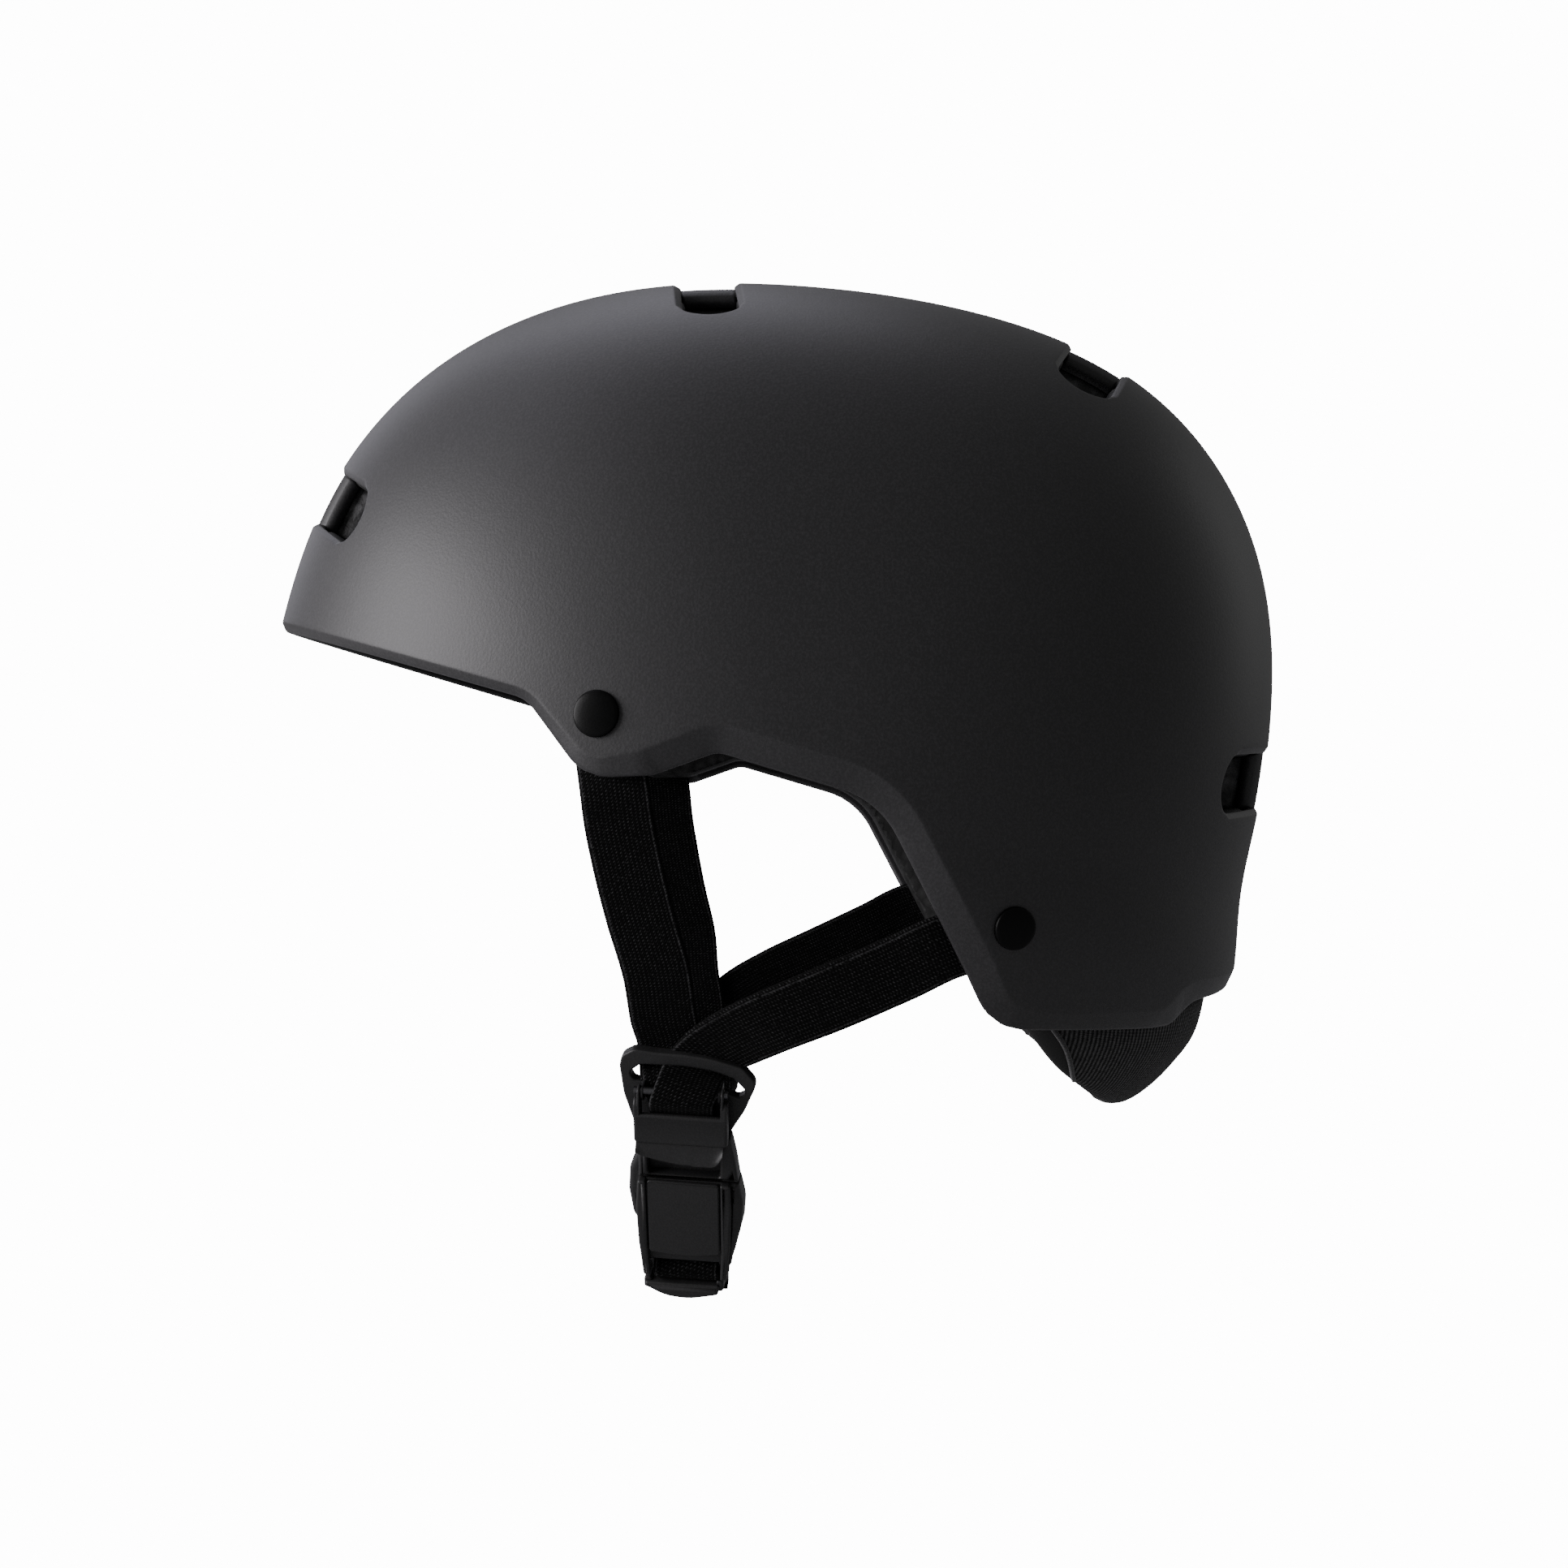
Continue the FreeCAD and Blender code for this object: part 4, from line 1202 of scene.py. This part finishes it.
for side in SIDES:
    plate_piece = hardware("divider_frame_" + side, divider_pieces(), side)
    dress(plate_piece, HARD_PLASTIC, "hardware", "harness_" + side, "divider_" + side)
    lever = hardware("cam_lever_" + side, cam_flap_pieces(), side)
    soften(lever, 0.0003)
    dress(lever, HARD_PLASTIC, "hardware", "cam_flap_" + side, "cam_flap_" + side)

# ---------------------------------------------------------------- chin buckle
TOP_FRAME = [
    (-12.0, -15.6, 2.0), (-9.6, -15.6, 1.0), (-9.6, -26.2, 0.8), (10.1, -26.2, 0.8), (10.1, -14.2, 1.0),
    (12.8, -13.4, 1.6), (14.2, -20.5, 10), (15.1, -27.4, 0.5), (-12.3, -27.4, 0.5)]
FRONT_RAIL = [
    (-12.3, -27.7, 0.7), (-12.9, -36.0, 20), (-12.5, -47.0, 12), (-11.4, -58.0, 2.2), (-9.6, -58.0, 0.6),
    (-9.95, -50.0, 8), (-10.1, -27.7, 0.5)]
REAR_RAIL = [
    (10.3, -27.7, 0.5), (10.2, -50.0, 8), (9.8, -58.4, 0.6), (11.6, -58.2, 2.2), (12.8, -48.0, 12),
    (13.3, -36.0, 20), (13.0, -27.7, 0.7)]
REAR_GRIP = [
    (11.4, -27.7, 0.5), (15.0, -27.8, 1.0), (16.3, -34.5, 7), (15.9, -40.5, 9), (14.0, -48.6, 12),
    (11.7, -56.6, 2), (10.0, -56.6, 1)]
FRONT_GRIP = [
    (-10.0, -20.0, 1), (-13.0, -20.8, 2.0), (-15.1, -26.0, 5), (-15.6, -33.0, 6), (-14.4, -41.6, 4),
    (-11, -43.6, 2)]
RELEASE_FACE = [
    (-9.8, -27.9, 0.8), (9.9, -28.1, 0.8), (9.9, -49.8, 0.9), (3.2, -50.6, 20), (-3.8, -50.5, 20),
    (-9.5, -49.9, 0.9)]
TONGUE_LIP = [
    (-11.2, -61.2, 0.6), (-11.4, -62.6, 1.0), (-6.0, -65.4, 12), (0.6, -66.2, 30), (8.9, -64.2, 1.0),
    (9.5, -61.0, 0.8)]


def buckle_pieces():
    """Upper bar, frame round the release plate, finger grips and the plates behind."""
    return [
        bar(2.0, BAIL_Y, 0, -12.4, 12.6, 0.6),
        prism(TOP_FRAME, -2.4, 3.4, 0.8),
        prism(FRONT_RAIL, -0.4, 5.1, 0.7),
        prism(REAR_RAIL, -0.4, 5.1, 0.7),
        prism(REAR_GRIP, -4.6, 3.7, 1.7),
        prism(FRONT_GRIP, -4.6, 1.3, 1.5),
        block(-12.6, 12.9, -48.6, -27.7, -2.5, 2.9, 1.5, 0.5),
        block(-10.4, 11.0, -29.0, -20.9, -2.4, -0.2, 0.6, 0.3),
        block(-10.2, 10.2, -54.0, -46.0, -0.2, 2.5, 0.8, 0.4),
        block(-12.6, 13.0, -30.2, -26.8, -5.5, -1.5, 1.2, 0.8),
        block(9.5, 13.0, -48.6, -28.0, -5.5, -1.5, 1.2, 0.8),
    ]


def release_pieces():
    """Face of the release plate and the peg that presses on the spring."""
    return [
        prism(RELEASE_FACE, 3.2, 5.3, 0.35, crown=0.5),
        block(-2.0, 2.0, -43.0, -41.0, 0.2, 3.6, 0.4, 0.2),
    ]


def tongue_pieces():
    """Plate behind the buckle, bar for the chin strap and the frame that holds both."""
    return [
        block(-8.8, 8.8, -52.0, -31.0, -6.0, -2.9, 2.0, 0.5),
        block(-12.4, 12.4, -52.0, -49.2, -6.0, -2.9, 1.0, 0.5),
        bar(1.5, INNER_Y, INNER_Z, -11.0, 11.0),
        prism(TONGUE_LIP, -0.4, 3.6, 0.7),
        block(-12.2, -9.2, -63.6, -49.2, -5.6, -1.9, 1.0, 0.6),
        block(9.2, 12.0, -58.0, -49.2, -5.6, -1.9, 1.0, 0.6),
        block(9.1, 10.7, -63.6, -56.0, -5.6, -1.9, 0.7, 0.4),
        block(-11.8, -9.6, -63.6, -60.2, -5.4, 2.6, 0.8, 0.5),
        block(8.4, 10.4, -63.4, -60.0, -5.4, 2.6, 0.8, 0.5),
        block(-9.0, 9.0, -63.6, -61.7, -1.8, 0.8, 0.6, 0.4),
    ]


INNER_Y = -55.5             # lower bar, in the tongue
INNER_Z = -3.6
dress(hardware("buckle_housing", buckle_pieces()), HARD_PLASTIC, "hardware", "harness_left", "buckle_body")
dress(hardware("release_face", release_pieces()), HARD_PLASTIC, "hardware", "release_plate", "buckle_release")
dress(hardware("tongue_frame", tongue_pieces()), HARD_PLASTIC, "hardware", "harness_right", "buckle_tongue")

# ---------------------------------------------------------------- release spring
COIL_LOW = -51.8
COIL_HIGH = -43.4
COIL_Z = 1.45
COIL_PITCH = 1.45
COIL_RADIUS = 1.1
COIL_WIRE = 0.22
WIRE_SIDES = 8
COIL_STEPS = 20             # rings of the wire in one turn


def wire(centres, radius, first, second, sides):
    """Round wire through points; first and second point across it at each of them."""
    turns = np.linspace(0, 2 * math.pi, sides, endpoint=False)
    rings = [centres + radius * (math.cos(a) * first + math.sin(a) * second) for a in turns]
    return np.stack(rings, 1).reshape(-1, 3), tube_faces(len(centres), sides)


def release_coil():
    """Return spring of the release plate, wound along its travel."""
    travel = COIL_HIGH - COIL_LOW - 2 * COIL_WIRE
    angles = np.linspace(0, 2 * math.pi * travel / COIL_PITCH, int(COIL_STEPS * travel / COIL_PITCH))
    outward = np.column_stack([np.sin(angles), np.zeros_like(angles), np.cos(angles)])
    centres = outward * COIL_RADIUS + (0, COIL_LOW + COIL_WIRE, COIL_Z)
    centres[:, 1] += angles / angles[-1] * travel
    return wire(centres, COIL_WIRE, outward, np.array((0, 1.0, 0)), WIRE_SIDES)


coil = hardware("return_spring", [release_coil()])
dress(coil, STEEL, "steel", None, "release_spring")
coil_ends = harness(np.array([(0, COIL_LOW, COIL_Z), (0, COIL_HIGH, COIL_Z)]))
tuple(coil_ends[0])
tuple(coil_ends[1])
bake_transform(coil)

# ---------------------------------------------------------------- chin strap
CHIN_CENTRES = [
    (0.0375, -0.0308, -0.1245), (0.0285, -0.0312, -0.1300), (0.014, -0.0318, -0.1345), (0, -0.032, -0.1360),
    (-0.014, -0.0318, -0.1346), (-0.031, -0.0314, -0.1302), (-0.0425, -0.0312, -0.1240)]


def chin_stations():
    """Chin strap: round the tongue's bar, under the chin and up to the right divider."""
    half = WEB / 2
    stations = []
    for turn in range(200, -121, -40):
        a = math.radians(turn)
        y = INNER_Y - 2.2 + 3.0 * math.sin(a)
        z = INNER_Z + 2.0 + 4.2 * math.cos(a)
        stations.append(plane_station(-half, y, half, y, z))
    for k, centre in enumerate(CHIN_CENTRES):
        share = (k + 1) / (len(CHIN_CENTRES) + 1)
        across = unit(BACK * (1 - share) + mirrored(BACK, "right") * share) * half * MM
        stations.append((np.array(centre) - across, np.array(centre) + across))
    for y in (-53.0, -34.0, -18.0, -3.4):
        pair = plane_station(-half, y, half, y, 0)
        stations.append(tuple(mirrored(edge, "right") for edge in pair))
    return stations


dress(strip("chin_webbing", chin_stations()), WEBBING, "webbing", "harness_right", "chin_strap")

# ---------------------------------------------------------------- rivet caps
# Direction and angle across of each rivet, and the radius of its cap.
RIVETS = {"front": (28.4, 69.9, 0.0060), "rear": (206.0, 64.4, 0.0056)}
STEM_RADIUS = 0.0024
STEM_END = -0.0076
CAP_UNDER = -0.0012
# Outline of a cap: share of its radius and height.
CAP_PROFILE = [
    (0.9, CAP_UNDER), (0.985, -0.0009), (1, -0.0004), (1, 0.0004), (0.99, 0.00075), (0.965, 0.00100),
    (0.93, 0.00116), (0.85, 0.0013), (0.6, 0.00152), (0.3, 0.00165), (0.08, 0.00168)]


def lathe(name, profile, place, normal, turns=64):
    """Round piece from a profile of (radius, height), standing on a point along a normal."""
    normal = np.asarray(normal, float)
    first = unit(np.cross(normal, (0, 0, 1.0)))
    second = np.cross(normal, first)
    angles = np.linspace(0, 2 * math.pi, turns, endpoint=False)
    points = []
    for radius, height in profile:
        ring = np.outer(np.cos(angles), first) + np.outer(np.sin(angles), second)
        points.append(place + ring * radius + normal * height)
    return fix_normals(new_mesh(name, np.concatenate(points), tube_faces(len(profile), turns)))


for end, (direction, across, radius) in RIVETS.items():
    profile = [(STEM_RADIUS, STEM_END), (STEM_RADIUS, CAP_UNDER)]
    profile += [(radius * share, height) for share, height in CAP_PROFILE]
    point = dome(np.array(direction), np.array(across), 0)
    normal = dome_normal(np.array(direction), np.array(across))
    for side in SIDES:
        cap = lathe("rivet_cap_" + end + "_" + side, profile, mirrored(point, side), mirrored(normal, side))
        dress(cap, RIVET_PLASTIC, "rivet_cap", "helmet", "rivet_" + end + "_" + side)


# ---------------------------------------------------------------- pads
SIM_FRAMES = 16
PAD_MOVE = 0.0030           # furthest that the cloth may carry a point of a pad
PAD_VOXEL = 0.0045
PAD_CLOTH = {
    "quality": 4,
    "mass": 0.15,
    "tension_stiffness": 12,
    "compression_stiffness": 12,
    "shear_stiffness": 8,
    "bending_stiffness": 1.0,
    "use_pressure": True,
    "uniform_pressure_force": 4.0,
}


def evaluated_mesh(piece):
    """Mesh of a piece as its modifiers leave it."""
    graph = bpy.context.evaluated_depsgraph_get()
    return bpy.data.meshes.new_from_object(piece.evaluated_get(graph))


def apply_modifier(piece, name, kind, **settings):
    modifier = piece.modifiers.new(name, kind)
    for key, value in settings.items():
        setattr(modifier, key, value)
    mesh = evaluated_mesh(piece)
    piece.modifiers.clear()
    piece.data = mesh


def blow_up(piece):
    """Lets a piece swell as cloth under pressure, for a short distance."""
    settings = piece.modifiers.new("cloth", "CLOTH").settings
    for key, value in PAD_CLOTH.items():
        setattr(settings, key, value)
    settings.effector_weights.gravity = 0
    before = np.array([v.co for v in piece.data.vertices])
    for number in range(1, SIM_FRAMES + 1):
        bpy.context.scene.frame_set(number)
    after = np.array([v.co for v in evaluated_mesh(piece).vertices])
    bpy.context.scene.frame_set(1)
    piece.modifiers.clear()
    move = after - before
    far = np.linalg.norm(move, axis=1, keepdims=True)
    move *= np.minimum(1, PAD_MOVE / np.maximum(far, 1e-9))
    piece.data.vertices.foreach_set("co", (before + move).ravel())


def stuffed(name, node):
    """Padded piece: the CAD solid's skin, blown up a little as cloth."""
    source = NODES[node]
    piece = source.copy()
    piece.data = source.data.copy()
    piece.name = name
    piece.parent = None
    piece.matrix_world.identity()
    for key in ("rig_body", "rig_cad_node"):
        del piece[key]
    bpy.context.scene.collection.objects.link(piece)
    apply_modifier(piece, "remesh", "REMESH", mode="VOXEL", voxel_size=PAD_VOXEL)
    blow_up(piece)
    apply_modifier(piece, "smooth", "SUBSURF", levels=1, render_levels=1)
    piece.data.polygons.foreach_set("use_smooth", [True] * len(piece.data.polygons))
    dress(piece, PAD_FABRIC, "pad_fabric", "helmet", node)


for node in ("brow_pad", "crown_pad", "rear_pad", "side_pad_left", "side_pad_right"):
    stuffed(node.replace("pad", "cushion"), node)


# ---------------------------------------------------------------- neck cradle
NECK_Y = 0.040              # axis of the cradle's round shape
NECK_SPREAD = 75            # degrees from the nape to either end
NECK_THICK = 0.0062
NECK_THINNING = 0.35        # share of the thickness lost from the middle to the ends
NECK_END = 7.0              # degrees over which each end is rounded off
NECK_END_THICK = 0.35       # share of the thickness left at the very end
# Height of the lower edge at angles from the nape.
NECK_TIPS = natural_spline(
    np.array((-75, -70, -65, -60, -50, -40, 0, 40, 50, 60, 65, 70, 75.0)),
    np.array((-54, -61, -66.4, -70.0, -75.4, -78.4, -83.4, -78.4, -75.4, -70.0, -66.4, -61, -54)) * MM)
# Shares of the way inward and of the way down, from the upper to the lower edge.
NECK_SHARES = np.array((0, 0.2, 0.4, 0.6, 0.85, 1.0))
NECK_SIDE = natural_spline(NECK_SHARES, np.array((0, 0.10, 0.27, 0.50, 0.84, 1.0)))
NECK_DROP = natural_spline(NECK_SHARES, np.array((0, 0.34, 0.56, 0.77, 0.97, 1.0)))


def neck_point(angle, share):
    """Outer face of the neck pad: angle from the nape, share of the way down to its tip."""
    turn = abs(angle) / NECK_SPREAD
    tip_r = 0.0500 + 0.0260 * turn ** 1.5
    top_r = 0.0800
    top_z = -0.0470 - 0.0046 * min(1.0, turn * 2.2)
    r = top_r + (tip_r - top_r) * NECK_SIDE(share)
    z = top_z + (NECK_TIPS(float(angle)) - top_z) * NECK_DROP(share)
    return float(r), float(z)


def neck_cradle():
    """Ribbed scoop under the nape: outer face, rolled lower edge and inner face."""
    angles = np.linspace(-NECK_SPREAD, NECK_SPREAD, 121)
    points = []
    uvs = []
    for angle in angles:
        thick = NECK_THICK * (1.0 - NECK_THINNING * (abs(angle) / NECK_SPREAD) ** 2)
        end = min(1.0, (NECK_SPREAD - abs(angle)) / NECK_END)
        thick *= NECK_END_THICK + (1 - NECK_END_THICK) * math.sqrt(max(0.0, 1 - (1 - end) ** 2))
        outer = np.array([neck_point(angle, share) for share in np.linspace(0, 1, NECK_ROWS)])
        tangent = unit(np.gradient(outer, axis=0))
        inside = np.stack([tangent[:, 1], -tangent[:, 0]], 1)
        inner = outer + inside * thick
        radius = thick / 2
        tip = outer[-1] + inside[-1] * radius
        turns = np.radians(np.linspace(0, 180, 9))[1:-1]
        roll = [tip - inside[-1] * radius * math.cos(t) + tangent[-1] * radius * math.sin(t) for t in turns]
        ring = np.concatenate([outer, roll, inner[::-1]])
        for k, (r, z) in enumerate(ring):
            points.append(round_nape(angle, r, z))
            uvs.append((angle * RIB_SPACING, k * RING_STEP))
    return fix_normals(new_mesh("neck_cradle", points, tube_faces(len(angles), len(ring)), uvs))


def round_nape(angle, r, z):
    a = math.radians(angle)
    return r * math.sin(a), NECK_Y + r * math.cos(a), z


def neck_piping(name, side):
    """Cord sewn on the line where the ribs meet the lining."""
    centres = []
    for share in np.linspace(0, 0.98, 22):
        angle = (LINING_TOP - LINING_TURN * share) * side
        r, z = neck_point(angle, share)
        centres.append(round_nape(angle, r + PIPING * 0.4, z - PIPING * 0.2))
    centres = np.array(centres)
    tangent = unit(np.gradient(centres, axis=0))
    first = unit(np.cross(tangent, (0, 0.3, 1.0)))
    return fix_normals(new_mesh(name, *wire(centres, PIPING, first, np.cross(tangent, first), 10)))


PIPING = 0.0007             # radius of the cord
cradle = neck_cradle()
dress(cradle, NECK_RIBS, "neck_fabric", "helmet", "neck_pad")
for side, sign in SIDES.items():
    piping = neck_piping("neck_piping_" + side, sign)
    dress(piping, NECK_FABRIC, "neck_fabric", "helmet")

# ---------------------------------------------------------------- camera, light and floor
FOCAL = 50.0
SENSOR = 36.0
camera = bpy.data.objects.new("camera", bpy.data.cameras.new("camera"))
camera.data.lens = FOCAL
camera.data.sensor_width = SENSOR
camera.data.shift_x = -0.0098
camera.data.shift_y = 0.0124
camera.data.clip_start = 0.01
camera.location = (0.650, 0, 0.005)
camera.rotation_euler = (math.radians(90), 0, math.radians(90))
bpy.context.scene.collection.objects.link(camera)
bpy.context.scene.camera = camera


def area_light(name, place, target, size, power, color=(1, 1, 1)):
    data = bpy.data.lights.new(name, "AREA")
    data.shape = "RECTANGLE"
    data.size, data.size_y = size
    data.energy = power
    data.color = color
    lamp = bpy.data.objects.new(name, data)
    lamp.location = place
    lamp.rotation_euler = (Vector(target) - Vector(place)).to_track_quat("-Z", "Y").to_euler()
    bpy.context.scene.collection.objects.link(lamp)


CENTRE = (0, 0, 0.02)
COOL = (0.90, 0.89, 1.0)
area_light("key", (0.50, -1.5, 0.42), CENTRE, (1.1, 0.9), 34, (1.0, 0.972, 1.0))
area_light("top", (0.15, -0.9, 1.3), CENTRE, (0.9, 0.6), 1.8, COOL)
area_light("crown", (-0.50, -0.25, 1.2), CENTRE, (0.8, 0.8), 3.8, COOL)
area_light("rear_edge", (-0.7, 1.3, 0.5), CENTRE, (0.4, 1.0), 1.0)
area_light("brow_edge", (-1.0, -0.9, 0.7), CENTRE, (0.6, 1.0), 2.5, COOL)

AMBIENT = 0.215
WHITE = 14.0                # what the camera sees behind the helmet


world = bpy.data.worlds.new("studio")
bpy.context.scene.world = world
world.use_nodes = True
tree = world.node_tree
background = tree.nodes["Background"]
constants(background, {"Color": (1, 1, 1, 1), "Strength": AMBIENT})
backdrop = tree.nodes.new("ShaderNodeBackground")
constants(backdrop, {"Color": (1, 1, 1, 1), "Strength": WHITE})
rays = tree.nodes.new("ShaderNodeLightPath")
choose = tree.nodes.new("ShaderNodeMixShader")
tree.links.new(rays.outputs["Is Camera Ray"], choose.inputs["Fac"])
tree.links.new(background.outputs[0], choose.inputs[1])
tree.links.new(backdrop.outputs[0], choose.inputs[2])
tree.links.new(choose.outputs[0], tree.nodes["World Output"].inputs["Surface"])

low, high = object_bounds()
FLOOR_SIZE = 3.0
floor = new_mesh("floor", [
    (-FLOOR_SIZE, -FLOOR_SIZE, 0), (FLOOR_SIZE, -FLOOR_SIZE, 0),
    (FLOOR_SIZE, FLOOR_SIZE, 0), (-FLOOR_SIZE, FLOOR_SIZE, 0)], [[0, 1, 2, 3]])
floor.location.z = low.z - 0.012
pale_floor, _, shader = new_material("pale_floor")
constants(shader, {"Base Color": (*grey(0.5), 1), "Roughness": 0.8})
floor.data.materials.append(pale_floor)
floor.visible_camera = False    # it only throws light up, so that views from below work too
